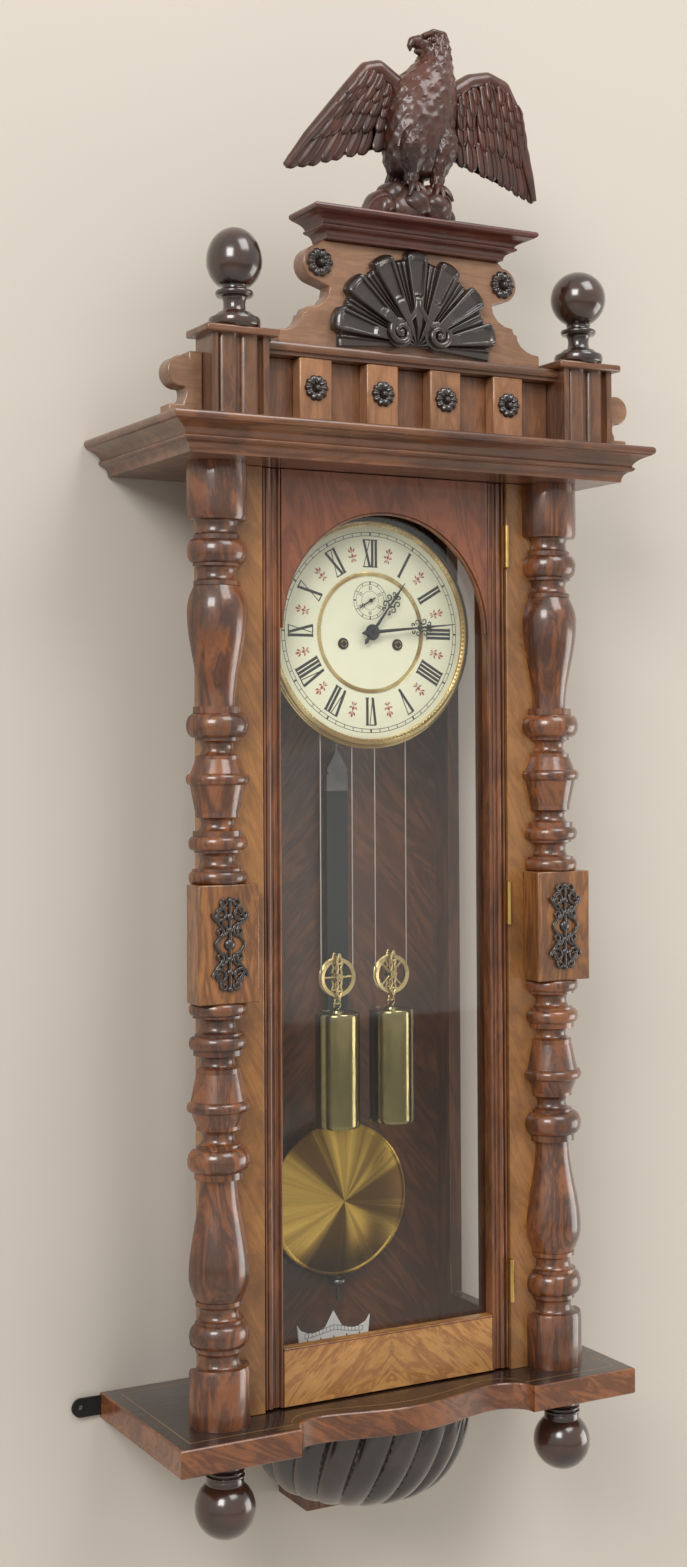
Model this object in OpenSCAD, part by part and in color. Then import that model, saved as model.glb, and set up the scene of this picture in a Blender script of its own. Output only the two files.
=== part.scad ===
// Two-weight wall clock: walnut case with a glazed door, turned half columns and a carved eagle.
// Millimetres. +X is to the right as seen from the front, the front faces -Y, +Z is up.
// The wall is the plane Y = 0. The origin is the centre of the round hole in the hanger plate.

/* [Case] */
// Height of the hanger hole above the centre of the dial
dial_drop = 100; // [90:1:110]
// Half the outside width of the case box
case_half = 126; // [124:0.5:128]
// Thickness of the case sides
side_t = 13; // [11:0.5:14]
// Thickness of the back board
back_t = 14; // [12:0.5:16]
// Distance from the wall to the back of the door
case_depth = 105; // [104:0.5:107]
// Distance from the wall to the face of the front boards
board_front = 122; // [120:0.5:124]
// Height of the underside of the cornice above the dial centre
case_top = 136.7; // [134:0.1:140]
// Depth of the shelf's upper face below the dial centre
shelf_drop = 661.3; // [655:0.1:665]

/* [Door] */
// Half the outside width of the door
door_half = 121.6; // [121:0.1:122]
// Half the width of the glazed opening, and the radius of its arch
light_half = 104.5; // [103:0.5:106]
// Height of the bottom rail of the door
rail_h = 48.8; // [40:0.2:60]
// Door stands this far from the wall, outside face
door_front = 120; // [119:0.5:121]

/* [Columns] */
// Distance of each column's axis from the middle of the clock
column_x = 167.5; // [165:0.5:170]
// Upper end of the square block in the middle of each column, below the dial centre
block_top = 214.9; // [210:0.1:220]
// Height of that block
block_h = 98.3; // [90:0.1:106]

/* [Cornice and shelf] */
// Half the width of the cornice at its nose
cornice_half = 237; // [232:0.5:242]
// Depth of the cornice from the wall to its nose
cornice_depth = 195.4; // [193:0.2:198]
// Height of the cornice
cornice_h = 31.3; // [30:0.1:33]
// Half the width of the shelf
shelf_half = 223.6; // [220:0.2:226]
// Depth of the shelf at its ends
shelf_depth = 171; // [170:0.5:172]
// Thickness of the shelf
shelf_t = 22.9; // [20:0.1:24]

/* [Dial] */
// Radius of the enamel disc
enamel_r = 96; // [95:0.5:97]
// Outer radius of the brass bezel
bezel_r = 103.4; // [102:0.1:103.5]
// Distance from the wall to the enamel
dial_y = 89.5; // [89:0.5:90]

/* [Weights and pendulum] */
// Distance of each winding arbor and weight from the middle
train_x = 27.7; // [27:0.1:28.5]
// Depth of the winding arbors below the dial centre
arbor_drop = 10.5; // [10:0.1:11]
// Radius at which each line leaves its barrel and its pulley
line_r = 16; // [15.5:0.1:16.5]
// Radius of the weights
weight_r = 20; // [18:0.5:21]
// Length of the weights
weight_h = 101; // [90:1:110]
// Depth of the pulley axles below the dial centre
pulley_drop = 306; // [290:1:320]
// Radius of the pendulum bob
bob_r = 70; // [60:1:74]
// Depth of the middle of the bob below the dial centre
bob_drop = 514; // [500:1:518]
// Height of the pendulum's pivot above the dial centre
pivot_rise = 46; // [45.5:0.5:46]

/* [Hidden] */
$fn = 64;
eps = 0.01;
inner_half = case_half - side_t;
board_inner = 123.4;
board_outer = 180;
board_t = board_front - case_depth;
door_t = door_front - case_depth;
door_low = shelf_drop - 1.8;
door_high = case_top - 0.7;
light_low = door_low - rail_h;
rebate = 4;
glass_t = 2;
window = [36, 84, -612, 92];
hinge_x = 122.5;
hinge_y = board_front + 2.5;
hinge_len = 38;
cornice_low = case_top;
cornice_high = case_top + cornice_h;
shelf_low = shelf_drop + shelf_t;
frieze_h = 55.6;
rail_y = 173;
crown_back = 147;
pedestal = [146.6, 198.2];
pedestal_y = [149.5, 181.5];
pedestal_h = 65.8;
crown_z = cornice_high + pedestal_h;
rosette_x = [-96, -31.5, 31.5, 96];
crest_y = 166;
crest_high = 324.5;
lobe = [91.4, 304.8];
cap_z = [crest_high, 348];
eagle_y = 171;
plate_front = 84;
plate_back = 41.5;
plate_t = 2.5;
plate_half = 48;
line_y = 75;
line_t = 0.7;
rod_y = 23.5;
rod_t = 6;
hand_y = [90.6, 93, 95.4];
weight_top = pulley_drop + 31;
hanger_r = 5.5;
hanger_t = 2.5;

// Moves a shape drawn round the dial's centre to its height in the clock's own frame.
module at_dial() { translate([0, 0, -dial_drop]) children(); }

// A flat outline in X and Z, its back face y from the wall, built t towards the front.
module plate(y, t) { translate([0, -y, 0]) rotate([90, 0, 0]) linear_extrude(t) children(); }

// A turned shape on an axis along Y through x, z: the profile's height runs to the front from y.
module turned_to_front(x, y, z) { translate([x, -y, z]) rotate([90, 0, 0]) rotate_extrude() children(); }

// The same shape at +x and, mirrored, at -x.
module both_sides() {
    children();
    mirror([1, 0, 0]) children();
}

module block(x0, x1, y0, y1, z0, z1) { translate([x0, -y1, z0]) cube([x1 - x0, y1 - y0, z1 - z0]); }

// Turned members are [kind, length, radius at the ends, radius in the middle or at the far end].
// Radius along one member, for t from 0 at its start to 1 at its end.
function member_r(m, t) =
    m[0] == "vase"
    ? (t < 0.21
        ? m[2] + (m[3] - m[2]) * sin(90 * t / 0.21)
        : m[4] + (m[3] - m[4]) * (1 + cos(180 * (t - 0.21) / 0.79)) / 2)
    : m[0] == "line" ? m[2] + (m[3] - m[2]) * t
    : m[2] + (m[3] - m[2]) * sqrt(max(0, 1 - pow(2 * t - 1, 2)));
function member_steps(m) = m[0] == "line" ? 1 : m[0] == "vase" ? 14 : 8;
function member_t(m, i) = (1 - cos(180 * i / member_steps(m))) / 2;
function run(ms, i) = i == 0 ? 0 : run(ms, i - 1) + ms[i - 1][1];
function raw_profile(ms) = [
    for (i = [0:len(ms) - 1]) for (j = [0:member_steps(ms[i])])
        let (t = member_t(ms[i], j)) [member_r(ms[i], t), run(ms, i) + t * ms[i][1]]
];
function clean(p) = [for (i = [0:len(p) - 1]) if (i == 0 || norm(p[i] - p[i - 1]) > 0.02) p[i]];
function closed(p) = concat([[0, p[0].y]], p, [[0, p[len(p) - 1].y]]);
module profile(ms) { polygon(closed(clean(raw_profile(ms)))); }

// From the plain outer end of a half column to the block.
column_members = [
    ["line", 48, 26.75, 26.75], ["cove", 12.5, 20.5, 17.5], ["line", 3.5, 20.8, 20.8],
    ["bead", 20, 21, 26.6], ["line", 2.5, 21.5, 21.5], ["cove", 12, 20.5, 16.8],
    ["line", 3.5, 20.8, 20.8], ["vase", 100, 20.2, 26.8, 16.3], ["line", 5.5, 21.5, 21.5],
    ["bead", 20, 21, 27.8], ["line", 2.5, 19.5, 19.5], ["cove", 12.3, 19, 13.9],
    ["line", 3, 19.4, 19.4], ["line", 11.5, 19.5, 24], ["bead", 9.5, 24.4, 28.2],
    ["line", 22.5, 24.6, 19.6], ["line", 4, 19.4, 19.4], ["cove", 11, 19, 14.5],
    ["line", 4.5, 22, 22], ["bead", 11.4, 22.4, 26], ["line", 2, 20.8, 20.8],
    ["cove", 13, 20, 15.3], ["line", 2, 22.5, 22.5], ["bead", 10.5, 22.7, 25.9]
];
column_length = run(column_members, len(column_members));

module back_board() {
    color("saddlebrown") difference() {
        at_dial() block(-case_half, case_half, 0, back_t, -shelf_drop, case_top);
        hanger_outline(hanger_t + 1);
        block(-10, 10, -eps, back_t - 3, -12, 20);
    }
}

// The hanger plate without its keyhole; a thicker one cuts the recess that it lies in.
module hanger_outline(t) {
    translate([-16, -hanger_t, -26]) cube([32, t, 56]);
}

module hanger_plate() {
    color("dimgray") difference() {
        hanger_outline(hanger_t);
        translate([0, 1, 0]) rotate([90, 0, 0]) cylinder(r = hanger_r, h = 5);
        translate([-2.5, -4, 0]) cube([5, 6, 14]);
    }
}

module case_boards() {
    color("saddlebrown") at_dial() for (z = [-shelf_drop, case_top - 12])
        block(-inner_half, inner_half, back_t, case_depth, z, z + 12);
}

module case_sides() {
    color("sienna") at_dial() both_sides() difference() {
        block(inner_half, case_half, back_t, case_depth, -shelf_drop, case_top);
        block(inner_half - 1, case_half + 1, window[0], window[1], window[2], window[3]);
    }
}

module side_glasses() {
    color("lightcyan", 0.3) at_dial() both_sides()
        block(118.5, 118.5 + glass_t, window[0], window[1], window[2], window[3]);
}

module front_boards() {
    color("peru") at_dial() both_sides()
        block(board_inner, board_outer, case_depth, board_front, -shelf_drop, case_top);
}

// Setback of the cornice's outline behind its nose, against height: cavetto, fillet, cyma, nose.
function cornice_setback(s) = [
    for (i = [0:5]) [s * (22.5 - 7 * (1 - cos(18 * i))), 9.3 * sin(18 * i)],
    [s * 13.8, 10.5], [s * 13.8, 12.6], [s * 15.5, 13.6],
    for (i = [0:7]) [s * (15.5 - 13 * (1 - cos(90 * i / 7))), 14 + 9.4 * sin(90 * i / 7)],
    [s * 1, 24.6], [0, 27.4], [s * 0.8, 29.6], [s * 2.4, 31.3]
];

// A moulding round three sides: the same profile seen from the side and from the front, crossed.
module moulding(half, depth, back, low, height) {
    k = height / 31.3;
    p = clean(cornice_setback(1));
    intersection() {
        translate([-half - 1, 0, low]) rotate([90, 0, 90]) linear_extrude(2 * half + 2) polygon(concat(
            [for (q = p) [-depth + q.x, q.y * k]], [[-back, height], [-back, 0]]
        ));
        translate([0, 0, low]) rotate([90, 0, 0]) linear_extrude(depth + 1) polygon(concat(
            [for (q = p) [half - q.x, q.y * k]],
            [for (i = [len(p) - 1:-1:0]) [-half + p[i].x, p[i].y * k]]
        ));
    }
}

module cornice() {
    color("saddlebrown") at_dial() moulding(cornice_half, cornice_depth, 0, cornice_low, cornice_h);
}

module half_column(length) {
    rotate([0, 0, 180]) rotate_extrude(angle = 180) polygon(closed([
        for (q = clean(raw_profile(column_members))) [q.x, q.y * length / column_length]
    ]));
}

module columns() {
    color("maroon") at_dial() both_sides() {
        translate([column_x, -board_front, case_top]) mirror([0, 0, 1]) half_column(case_top + block_top);
        translate([column_x, -board_front, -shelf_drop]) half_column(shelf_drop - block_top - block_h);
    }
}

block_y = 145.7;
module column_blocks() {
    color("peru") at_dial() both_sides()
        block(column_x - 28, column_x + 28, board_front, block_y, -block_top - block_h, -block_top);
}

// A cast scroll plate: an oval in the middle and paired scrolls at each end.
module block_ornaments() {
    ornament_z = -block_top - block_h / 2;
    color("black") at_dial() both_sides() plate(block_y, 4) translate([column_x, ornament_z]) union() {
        square([17, 56], center = true);
        circle(r = 15);
        for (s = [-1, 1]) {
            for (t = [-1, 1]) translate([9 * t, 24 * s]) circle(r = 7.5);
            translate([0, 33 * s]) circle(r = 7);
        }
    }
}

// Distance of the shelf's front edge from the wall, against distance from the middle.
shelf_cove = [86, 115];
function shelf_front(x) =
    x > shelf_cove[1] ? shelf_depth
    : x > shelf_cove[0]
    ? shelf_depth - 21.4 * sqrt(max(0, 1 - pow((x - shelf_cove[0]) / (shelf_cove[1] - shelf_cove[0]), 2)))
    : shelf_depth - 21.4 + 15.4 * pow((1 + cos(180 * x / shelf_cove[0])) / 2, 0.75);
shelf_xs = [for (i = [0:10]) shelf_cove[1] - 1.45 * i * i / 5, for (i = [0:9]) 78 - 8.6 * i];

module shelf() {
    half = [for (x = shelf_xs) if (x > 0.5) [x, -shelf_front(x)]];
    outline = concat(
        [[shelf_half, 0], [shelf_half, -shelf_depth]], half, [[0, -shelf_front(0)]],
        [for (i = [len(half) - 1:-1:0]) [-half[i].x, half[i].y]],
        [[-shelf_half, -shelf_depth], [-shelf_half, 0]]
    );
    color("saddlebrown") at_dial() translate([0, 0, -shelf_low]) linear_extrude(shelf_t) polygon(outline);
}

// A half bowl against the corbel block, under the bulge of the shelf.
corbel_y = 54.6;
boss_low = 762;
module gadroon_boss() {
    color("black") at_dial() translate([0, -corbel_y, -boss_low]) rotate([0, 0, 180])
        rotate_extrude(angle = 180) polygon(concat(
            [[0, 0], [46, 0]],
            [for (i = [1:9]) [46 + 58 * sin(10 * i), (boss_low - shelf_low) * (1 - cos(10 * i))]],
            [[0, boss_low - shelf_low]]
        ));
}

module corbel_block() {
    flare = 54;
    color("sienna") at_dial() plate(0, corbel_y) polygon(concat(
        [[49.5, -778.5], [49.5, -764]],
        [for (i = [1:8]) [49.5 + flare * (1 - cos(90 * i / 8)), -764 + (764 - shelf_low) * sin(90 * i / 8)]],
        [for (i = [8:-1:1]) [-49.5 - flare * (1 - cos(90 * i / 8)), -764 + (764 - shelf_low) * sin(90 * i / 8)]],
        [[-49.5, -764], [-49.5, -778.5]]
    ));
}

drop_members = [
    ["line", 4, 17.8, 17.8], ["cove", 7, 16.5, 12.8], ["line", 2.5, 15, 15], ["line", 3.4, 16.6, 19.2]
];
drop_ball = [25.5, 42.4];
module drop_finials() {
    color("black") at_dial() both_sides() translate([168, -135.5, -shelf_low]) mirror([0, 0, 1]) {
        rotate_extrude() profile(drop_members);
        translate([0, 0, drop_ball[1]]) sphere(r = drop_ball[0]);
    }
}

module steady_brackets() {
    color("dimgray") at_dial() both_sides() plate(0, 3) difference() {
        union() {
            translate([shelf_half, -680]) square([18.4, 16]);
            translate([shelf_half + 18.4, -672]) circle(r = 8);
        }
        translate([shelf_half + 18.4, -672]) circle(r = 2.5);
    }
}

module frieze_board() {
    color("peru") at_dial()
        block(-pedestal[0], pedestal[0], 140, 154, cornice_high, cornice_high + frieze_h);
}

module frieze_blocks() {
    color("peru") at_dial() for (x = rosette_x)
        block(x - 15.5, x + 15.5, 154, 168, cornice_high, cornice_high + frieze_h);
}

module frieze_rail() {
    color("saddlebrown") at_dial()
        block(-pedestal[0], pedestal[0], crown_back, rail_y, cornice_high + frieze_h, crown_z);
}

// A turned button with a raised middle, h proud of the board.
module rosette(r, h) {
    polygon([[0, 0], [r, 0], [r, h * 0.45], [r * 0.8, h * 0.75], [r * 0.55, h * 0.5], [r * 0.4, h], [0, h]]);
}

module rosettes() {
    color("black") at_dial() {
        for (x = rosette_x) turned_to_front(x, 168, cornice_high + 30.3) rosette(11, 5.5);
        for (s = [-1, 1]) turned_to_front(s * lobe.x, crest_y, lobe.y) rosette(12.2, 7.5);
    }
}

// Square posts with two wide flutes down the face and one down the outer side.
module pedestals() {
    mid = (pedestal[0] + pedestal[1]) / 2;
    color("sienna") at_dial() both_sides() difference() {
        block(pedestal[0], pedestal[1], pedestal_y[0], pedestal_y[1], cornice_high, crown_z);
        for (x = [mid - 10.5, mid + 10.5]) translate([x, -pedestal_y[1] - 5, cornice_high + 6])
            cylinder(r = 9.5, h = pedestal_h - 12);
    }
}

module pedestal_caps() {
    color("saddlebrown") at_dial() both_sides() block(139.3, 205, 144, 187, crown_z, crown_z + 6.4);
}

finial_members = [
    ["bead", 9, 20.6, 21.7], ["line", 4, 17, 15], ["cove", 14, 12, 9.2], ["line", 4.6, 15.5, 15.5],
    ["line", 3.4, 11, 13]
];
finial_ball_z = 59.5;
module ball_finials() {
    color("maroon") at_dial() for (s = [-1, 1]) translate([s * 171.8, -168, crown_z + 6.4]) {
        rotate_extrude() profile(finial_members);
        // The left ball is slightly egg-shaped, drawn out upwards; the right one is a plain ball.
        translate([0, 0, finial_ball_z - (s < 0 ? 2.2 : 0)]) sphere(r = s < 0 ? 23 : 24.6);
        if (s < 0) translate([0, 0, finial_ball_z + 1.2]) sphere(r = 23);
    }
}

module side_ears() {
    color("peru") at_dial() both_sides() plate(144, 19) union() {
        translate([pedestal[1], cornice_high]) square([29.8, 8.5]);
        translate([pedestal[1], cornice_high]) square([12, 52.5]);
        difference() {
            translate([pedestal[1], cornice_high + 8]) square([17, 28]);
            translate([223, cornice_high + 18]) circle(r = 10);
        }
        translate([216.4, 203.5]) circle(r = 13);
    }
}

// Right half of the crest's outline, from the bottom outer corner to the middle of the top.
crest_half = [
    [130.6, crown_z], [130.6, 245.4],
    for (i = [0:5]) [107 + 23.6 * (1 - sin(18 * i)), 245.4 + 16.6 * (1 - cos(18 * i))],
    [104.2, 262.5], [102.3, 267.3],
    for (i = [0:4]) [80.9 + 21.4 * (1 - sin(22.5 * i)), 267.3 + 18.6 * (1 - cos(22.5 * i))],
    for (i = [0:9]) [lobe.x + 15.3 * cos(-80 + 18.5 * i), lobe.y + 15.3 * sin(-80 + 18.5 * i)],
    [87.7, crest_high]
];

module crest_board() {
    color("peru") at_dial() plate(crown_back, crest_y - crown_back) polygon(concat(
        crest_half, [for (i = [len(crest_half) - 1:-1:0]) [-crest_half[i].x, crest_half[i].y]]
    ));
}

// A fan of seven ribs that spreads from two scrolls at its foot.
shell_foot = [0, 241];
function shell_r(a) = 80 + 3.4 * abs(cos(a * 7));
module crest_shell() {
    color("black") at_dial() {
        plate(crest_y, 9) polygon(concat(
            [[-74, 235.5]],
            [for (a = [184:-4:-4]) [shell_foot.x + shell_r(a) * cos(a), shell_foot.y + shell_r(a) * sin(a)]],
            [[74, 235.5]]
        ));
        plate(crest_y + 9, 4) translate(shell_foot) difference() {
            circle(r = 62);
            translate([-70, -80]) square([140, 80]);
        }
        for (s = [-1, 1]) translate([s * 19, -crest_y - 9, 251]) rotate([90, 0, 0]) cylinder(r = 13, h = 7);
    }
}

module crest_cap() {
    color("maroon") at_dial() moulding(110.5, 195.8, crown_back, cap_z[0], cap_z[1] - cap_z[0]);
}

// The bird is carved in one piece with its rock; its head is turned to the left.
module eagle_body() {
    color("maroon") at_dial() difference() {
        union() {
            for (p = [[-32, 350, 20], [-9, 352, 22], [14, 351, 20], [-12, 364, 19]])
                translate([p[0], -eagle_y, p[1]]) sphere(r = p[2]);
            translate([-4, -eagle_y, 390]) sphere(r = 24);
            translate([-18, -eagle_y, 378]) sphere(r = 14);
            translate([12, -eagle_y + 2, 380]) sphere(r = 15);
            translate([0, -eagle_y, 418]) sphere(r = 28);
            translate([3, -eagle_y, 442]) sphere(r = 29);
            translate([11, -eagle_y, 470]) sphere(r = 21);
            translate([17, -eagle_y, 499]) sphere(r = 16.5);
            translate([17, -eagle_y, 500]) rotate([0, -96, 0]) cylinder(r1 = 10, r2 = 3, h = 24);
        }
        translate([-150, -220, cap_z[1] - 60]) cube([300, 120, 60]);
        eagle_wing_outline(left_wing);
        eagle_wing_outline(right_wing);
    }
}

left_wing = [
    [-14, 472], [-30, 470], [-33, 480], [-38.5, 485], [-47, 482], [-58, 464], [-80, 438],
    [-104, 411], [-129, 382], [-121, 376], [-96, 387], [-70, 396], [-35, 404], [-20, 425]
];
right_wing = [
    [26, 472], [44, 473], [58, 485], [74, 490.5], [87, 490.5], [96, 480], [104, 461],
    [113, 430], [121, 402], [126.5, 377], [118, 378], [96, 387], [70, 395], [37, 403], [22, 425]
];
module eagle_wing_outline(points) { plate(eagle_y - 5, 10) polygon(points); }
module eagle_wing_left() { color("maroon") at_dial() eagle_wing_outline(left_wing); }
module eagle_wing_right() { color("maroon") at_dial() eagle_wing_outline(right_wing); }

// Holes [x, z, radius] for the arbors in both movement plates.
arbor_holes = [
    [0, 0, 1.65], [train_x, -arbor_drop, 3.05], [-train_x, -arbor_drop, 3.05], [0, 28.5, 1.05],
    [0, pivot_rise, 1.55], [38, 36, 1.55]
];
module movement_frame() {
    color("goldenrod") at_dial() {
        for (y = [plate_back, plate_front - plate_t]) plate(y, plate_t) difference() {
            square([2 * plate_half, 2 * plate_half + 20], center = true);
            for (h = arbor_holes) translate([h[0], h[1]]) circle(r = h[2]);
        }
        for (x = [-34.5, 34.5], z = [-50, 50]) translate([x, -plate_back - plate_t, z]) rotate([90, 0, 0])
            cylinder(r = 4, h = plate_front - plate_back - 2 * plate_t);
    }
}

module movement_bracket() {
    color("dimgray") at_dial() both_sides() block(34, 48, back_t, plate_back, -57, -45);
}

module suspension_bracket() {
    color("goldenrod") at_dial() {
        block(-14, 14, back_t, back_t + 3, 38, 70);
        block(-8, 8, back_t + 3, 31, pivot_rise + 1, pivot_rise + 12);
    }
}

module dial_plate() {
    color("beige") at_dial() {
        plate(dial_y - 2, 2) difference() {
            circle(r = enamel_r - 1);
            circle(r = 3.6);
            for (s = [-1, 1]) translate([s * train_x, -arbor_drop]) circle(r = 4.3);
            translate([0, 28.5]) circle(r = 1.4);
        }
        for (a = [60, 180, 300]) translate([44 * cos(a), -plate_front, 44 * sin(a)]) rotate([90, 0, 0])
            cylinder(r = 2.5, h = dial_y - 2 - plate_front);
    }
}

module dial_rings() {
    color("gold") at_dial() {
        turned_to_front(0, 86, 0) polygon([
            [enamel_r - 1, 0], [bezel_r, 0], [bezel_r, 3.4], [bezel_r - 2.4, 5.6], [enamel_r + 1, 7.6],
            [enamel_r - 1, 6.6]
        ]);
        turned_to_front(0, dial_y, 0) polygon([[50.3, 0], [54.3, 0], [53.6, 1.3], [51, 1.3]]);
    }
}

// Three turns of flat wire on a post, held to a stem on the back board.
gong_at = [74, 10];
module gong() {
    color("slategray") at_dial() translate([gong_at.x, 0, gong_at.y]) {
        for (r = [10, 18, 26]) turned_to_front(0, 20, 0) translate([r, 0]) square([2.6, 2]);
        turned_to_front(0, back_t, 0) square([5, 9]);
        plate(19, 1) translate([-28, -2]) square([56, 4]);
    }
}

// Enamelled beat scale with three points along its upper edge.
module beat_scale() {
    color("white") at_dial() plate(back_t, 1.5) polygon([
        [-36, -645], [36, -645], [38, -626], for (i = [0:4]) [34 - 6.4 * i, -632 - 4 * sin(45 * i)],
        [0, -618], for (i = [4:-1:0]) [-34 + 6.4 * i, -632 - 4 * sin(45 * i)], [-38, -626]
    ]);
}

module door_stiles() {
    color("sienna") at_dial() both_sides() difference() {
        block(light_half, door_half, case_depth, door_front, -door_low, door_high);
        block(light_half - 1, light_half + rebate, case_depth - 1, case_depth + 5, -light_low - rebate, 0);
        plate(case_depth - 1, 6) circle(r = light_half + rebate);
    }
}

module door_top_panel() {
    color("brown") at_dial() {
        plate(case_depth + 5, door_t - 5) difference() {
            translate([-light_half, 0]) square([2 * light_half, door_high]);
            circle(r = light_half - 0.6);
        }
        plate(case_depth, 5) difference() {
            translate([-light_half, 1]) square([2 * light_half, door_high - 1]);
            circle(r = light_half + rebate);
        }
    }
}

module door_bottom_rail() {
    color("goldenrod") at_dial() difference() {
        block(-light_half, light_half, case_depth, door_front, -door_low, -light_low);
        block(-light_half - 1, light_half + 1, case_depth - 1, case_depth + 5, -light_low - rebate, 1 - light_low);
    }
}

module door_glass() {
    r = light_half + rebate - 0.3;
    color("lightcyan", 0.3) at_dial() plate(case_depth + 5 - glass_t, glass_t) intersection() {
        union() {
            circle(r = r);
            translate([-r, -light_low - rebate + 0.3]) square([2 * r, light_low + rebate - 0.3]);
        }
        translate([-light_half - rebate + 0.3, -700]) square([2 * r, 900]);
    }
}

module door_hinges() {
    color("darkgoldenrod") at_dial() for (z = [60, -262, -600]) {
        translate([hinge_x, -hinge_y, z]) cylinder(r = 2.3, h = hinge_len);
        block(door_half, door_half + 0.7, case_depth + 2, hinge_y, z, z + hinge_len);
    }
}

// A toothed disc with n pointed teeth from radius r0 to r1.
module toothed(n, r0, r1) {
    polygon([for (i = [0:2 * n - 1]) let (r = i % 2 == 0 ? r1 : r0) [r * cos(180 * i / n), r * sin(180 * i / n)]]);
}

// A pointed hand of the given reach, turned clockwise from upright by angle.
module hand_outline(reach, hub, width, tail, angle) {
    rotate([0, 0, -angle]) difference() {
        union() {
            circle(r = hub);
            polygon([[-width / 2, -tail], [width / 2, -tail], [width / 2, reach * 0.8], [0, reach],
                [-width / 2, reach * 0.8]]);
            translate([0, reach * 0.62]) circle(r = width * 1.35);
        }
        translate([0, reach * 0.62]) circle(r = width * 0.6);
    }
}

minute_angle = 84;
hour_angle = 37;
seconds_angle = 240;
module minute_hand() {
    color("black") at_dial() {
        plate(hand_y[2], 1) hand_outline(84, 4, 4.4, 12, minute_angle);
        translate([0, -hand_y[2] - 2.2, 0]) rotate([90, 0, 0]) mirror([0, 0, 1]) cylinder(r = 1.6, h = 57);
    }
}

module centre_wheel() {
    color("gold") at_dial() plate(49, 1.6) difference() {
        toothed(80, 18.4, 20);
        circle(r = 1.6);
        for (a = [45:90:315]) rotate([0, 0, a]) translate([10.5, 0]) circle(r = 5.2);
    }
}

module hour_hand() {
    color("black") at_dial() {
        plate(hand_y[1], 1) difference() {
            hand_outline(56, 5, 5.6, 9, hour_angle);
            circle(r = 1.65);
        }
        plate(hand_y[1] - 6, 6) difference() {
            circle(r = 3.1);
            circle(r = 1.65);
        }
    }
}

module seconds_hand() {
    color("black") at_dial() {
        plate(hand_y[0], 0.6) translate([0, 28.5]) hand_outline(14.5, 1.8, 1.1, 5, seconds_angle);
        translate([0, -hand_y[0] - 0.6, 28.5]) rotate([-90, 0, 0]) cylinder(r = 1, h = 50);
    }
}

module escape_wheel() {
    color("gold") at_dial() plate(67.5, 1.6) translate([0, 28.5]) difference() {
        toothed(40, 11.2, 13);
        circle(r = 1);
        for (a = [0:90:270]) rotate([0, 0, a]) translate([6.4, 0]) circle(r = 3);
    }
}

// Drum with its great wheel, on the winding arbor that reaches through the dial.
module barrel(x) {
    color("gold") at_dial() translate([x, 0, -arbor_drop]) {
        translate([0, -91, 0]) rotate([-90, 0, 0]) cylinder(r = 3, h = 50.5);
        turned_to_front(0, 57, 0) square([line_r - line_t - 0.1, 21]);
        plate(54, 2.4) toothed(60, 22.4, 24);
    }
}
module time_barrel() { barrel(train_x); }
module strike_barrel() { barrel(-train_x); }

// Anchor on its arbor, with two pallets over the escape wheel and the crutch behind the plate.
module anchor() {
    color("gray") at_dial() {
        translate([0, -83, pivot_rise]) rotate([-90, 0, 0]) cylinder(r = 1.5, h = 49);
        plate(67.4, 2.4) translate([0, pivot_rise]) {
            circle(r = 3);
            for (s = [0, 1]) mirror([s, 0]) {
                rotate([0, 0, -32.4]) translate([0, -1.2]) square([12.7, 2.4]);
                translate([10.7, -6.8]) circle(r = 1.2);
            }
        }
        plate(35, 2) translate([-1.5, -40]) square([3, 40 + pivot_rise]);
    }
}

// Strike hammer on its arbor, its head just clear of the gong.
module hammer() {
    color("gray") at_dial() {
        translate([38, -83, 36]) rotate([-90, 0, 0]) cylinder(r = 1.5, h = 63);
        plate(20.5, 3) translate([38, 34.5]) square([11.5, 3]);
        plate(20, 4) translate([49.5, 34.5]) circle(r = 4.5);
    }
}

// Brass shell with a turned cap at each end and a hook above.
module weight(x) {
    color("goldenrod") at_dial() translate([x, -line_y, -weight_top - weight_h]) {
        rotate_extrude() polygon([[0, 0], [weight_r - 1, 0], [weight_r, 1], [weight_r, weight_h - 1],
            [weight_r - 1, weight_h], [5, weight_h], [3.2, weight_h + 3], [0, weight_h + 3]]);
        cylinder(r = 1.4, h = weight_h + 8);
    }
}
module time_weight() { weight(train_x); }
module strike_weight() { weight(-train_x); }

// Straps before and behind the pulley, joined over and under it.
module stirrup(x) {
    color("goldenrod") at_dial() translate([x, 0, -pulley_drop]) {
        for (y = [line_y - 5.2, line_y + 4]) plate(y, 1.2) difference() {
            polygon([[-3.4, -20], [3.4, -20], [3.4, 16], [0, 22], [-3.4, 16]]);
            circle(r = 1.56);
        }
        block(-2.4, 2.4, line_y - 4, line_y + 4, 17.6, 19.6);
        block(-3.4, 3.4, line_y - 4, line_y + 4, -23, -18);
    }
}
module time_stirrup() { stirrup(train_x); }
module strike_stirrup() { stirrup(-train_x); }

module pulley(x) {
    color("gold") at_dial() translate([x, 0, -pulley_drop]) {
        difference() {
            turned_to_front(0, line_y - 3, 0) polygon([
                [0, 0], [17.2, 0], [17.2, 1], [line_r - line_t - 0.7, 3], [17.2, 5], [17.2, 6], [0, 6]
            ]);
            for (a = [45:90:315]) rotate([0, a, 0]) translate([8, -line_y - 4, 0]) rotate([-90, 0, 0])
                cylinder(r = 4, h = 8);
        }
        translate([0, -line_y - 5.8, 0]) rotate([-90, 0, 0]) cylinder(r = 1.5, h = 11.6);
    }
}
module time_pulley() { pulley(train_x); }
module strike_pulley() { pulley(-train_x); }

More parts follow.
